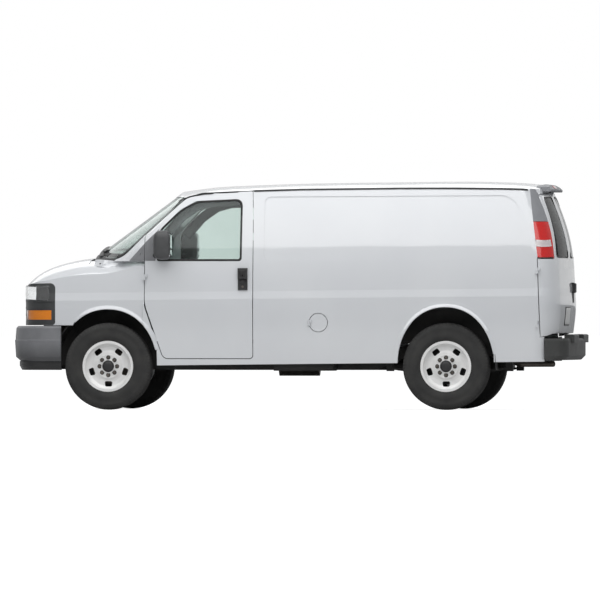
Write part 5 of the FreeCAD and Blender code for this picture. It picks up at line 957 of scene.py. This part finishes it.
def makeRadiator():
    rows, columns = radiator["rows"], radiator["fins"] * 4
    # fins: the depth follows a folded wave across, with a step at each water tube
    fold = np.abs((np.arange(columns) % 4) - 2.0)[None, :] / 2.0
    tube = (np.arange(rows) % 5 == 0)[:, None]
    front = stacked(radiator["x"] - radiator["fold"] * np.where(tube, 1.0, fold),
                    np.linspace(-radiator["half"], radiator["half"], columns),
                    np.linspace(radiator["low"], radiator["high"], rows)[:, None])
    piece = gridPiece("radiatorCore", front, "rawSteel", "body", smooth=False)
    thicken(faceTowards(piece, "x", -1), radiator["deep"], offset=-1.0)
    # the support panel at each side of the core closes the view past it
    for side, way in sides:
        points = stacked(radiator["x"] + radiator["panelSet"], way * np.linspace(*radiator["panelY"], 6),
                         np.linspace(*radiator["panelZ"], 6)[:, None])
        panel = gridPiece("radiatorPanel_" + side, points, "underside", "body")
        thicken(faceTowards(panel, "x", -1), radiator["panelThick"], offset=-1.0)


flap = {"x": 1.9335, "y": (0.8, 0.982), "z": (0.375, 0.64), "bow": 0.012, "thick": 0.005}


def makeFlaps():
    z = np.linspace(*flap["z"], 16)[:, None]
    y = np.linspace(*flap["y"], 8)
    # the sheet bows a little backwards towards its free foot
    x = flap["x"] + flap["bow"] * ((flap["z"][1] - z) / (flap["z"][1] - flap["z"][0])) ** 2
    for side, way in sides:
        piece = gridPiece("mudFlap_rear_" + side, stacked(x, way * y, z), "blackTrim", "body")
        thicken(faceTowards(piece, "x", 1), flap["thick"], 0.001)


# Seats: crowned cushions of woven cloth on a moulded base. Each pad has its half sizes, its middle's x and z,
# whether it leans, the axis of its sewn faces (x is 0, z is 2) and the channels' places across
seat = {"side": 0.47, "corner": 0.42, "channel": 0.006, "channelWidth": 0.01, "lean": math.radians(13.8),
        "sewnAt": 0.9, "sewnWidth": 0.05, "sewn": 0.012, "pull": 0.045,
        "pads": {"Cushion": ((0.205, 0.245, 0.07), (-0.727, 0.948), False, 2, (-0.45, 0.45)),
                 "Back": ((0.066, 0.24, 0.34), (-0.42, 1.262), True, 0, (-0.5, 0.0, 0.5)),
                 "HeadRest": ((0.05, 0.128, 0.073), (-0.336, 1.716), False, 0, ())},
        "base": (-0.69, 0.149, 0.175), "baseZ": (0.6528, 0.66, 0.76, 0.86, 0.884),
        "baseGrow": (1.0, 1.0, 0.86, 0.86, 1.0), "rod": (0.0065, 0.12), "rodAt": (-0.345, 1.56),
        "rodY": (-0.065, 0.065)}


def padPoints(half, channels, axis):
    # the sides pull in between the corners; a seam runs round the rim, and sewn channels on the faces
    x, y, z = pillow(72, 128, seat["corner"], 0.03)
    run = z if axis == 0 else x
    sewn = np.exp(-((np.abs(run) - seat["sewnAt"]) / seat["sewnWidth"]) ** 2) * seat["sewn"]
    dip = sum(np.exp(-((y - c) * half[1] / seat["channelWidth"]) ** 2) for c in channels)
    pull, pullAcross = [1 - seat["pull"] + seat["pull"] * k ** 2 for k in (y, run)]
    points = stacked(x * half[0] * (pull if axis == 2 else 1.0), y * half[1] * pullAcross,
                     z * half[2] * (pull if axis == 0 else 1.0))
    points = points * (1 - sewn)[..., None]
    face = points[..., axis] / half[axis]
    points[..., axis] -= np.sign(face) * np.clip(np.abs(face) * 3 - 2, 0, 1) * dip * seat["channel"]
    return points


def makeSeats():
    cos, sin = math.cos(seat["lean"]), math.sin(seat["lean"])
    lean = np.array([[cos, 0, sin], [0, 1, 0], [-sin, 0, cos]])
    for side, way in sides:
        y = way * seat["side"]
        for name, (half, (x, z), leans, axis, channels) in seat["pads"].items():
            points = padPoints(half, channels, axis)
            if leans:
                points = (points.reshape(-1, 3) @ lean.T).reshape(points.shape)
            piece = closedPiece("seat" + name + "_" + side, points + (x, y, z), "seatCloth", "body")
            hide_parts("seats")
        middleX, halfX, halfY = seat["base"]
        base = roundCorners(rectangle(middleX, y, halfX, halfY), 0.03, 6)
        middle = base.mean(0)
        grow = np.array(seat["baseGrow"])[:, None, None]
        flat = middle + (base[None] - middle) * grow
        points = stacked(flat[..., 0], flat[..., 1], np.array(seat["baseZ"])[:, None])
        closedPiece("seatBase_" + side, points, "cabPlastic", "body")
        radius, height = seat["rod"]
        for k, offset in enumerate(seat["rodY"]):
            rod = turned([(radius, 0.0), (radius, height)], 16, (0, 0, 0), 1)
            rod = stacked(rod[..., 0] + seat["rodAt"][0], rod[..., 2] + y + offset, rod[..., 1] + seat["rodAt"][1])
            turnOut(gridPiece("seatRod_%s_%d" % (side, k), rod, "rawSteel", "body", loopRows=True))


makeCamera()
setStudio()
makeFloor()
finishNodes()
print("materials and light set")
makeTyres()
makeHubs()
print("wheels made")
makeSeals()
makeLinings()
makeArches()
makeFenderFeet()
makeCrowns()
makeLips()
makeDrip()
print("seals and lips made")
makeHeadlamps()
makeTailBands()
makeHighLens()
print("lamps made")
makeSails()
makeMirrors()
makeHandles()
makePlate()
makeRadiator()
makeFlaps()
print("trim made")
makeSeats()
print("seats made")
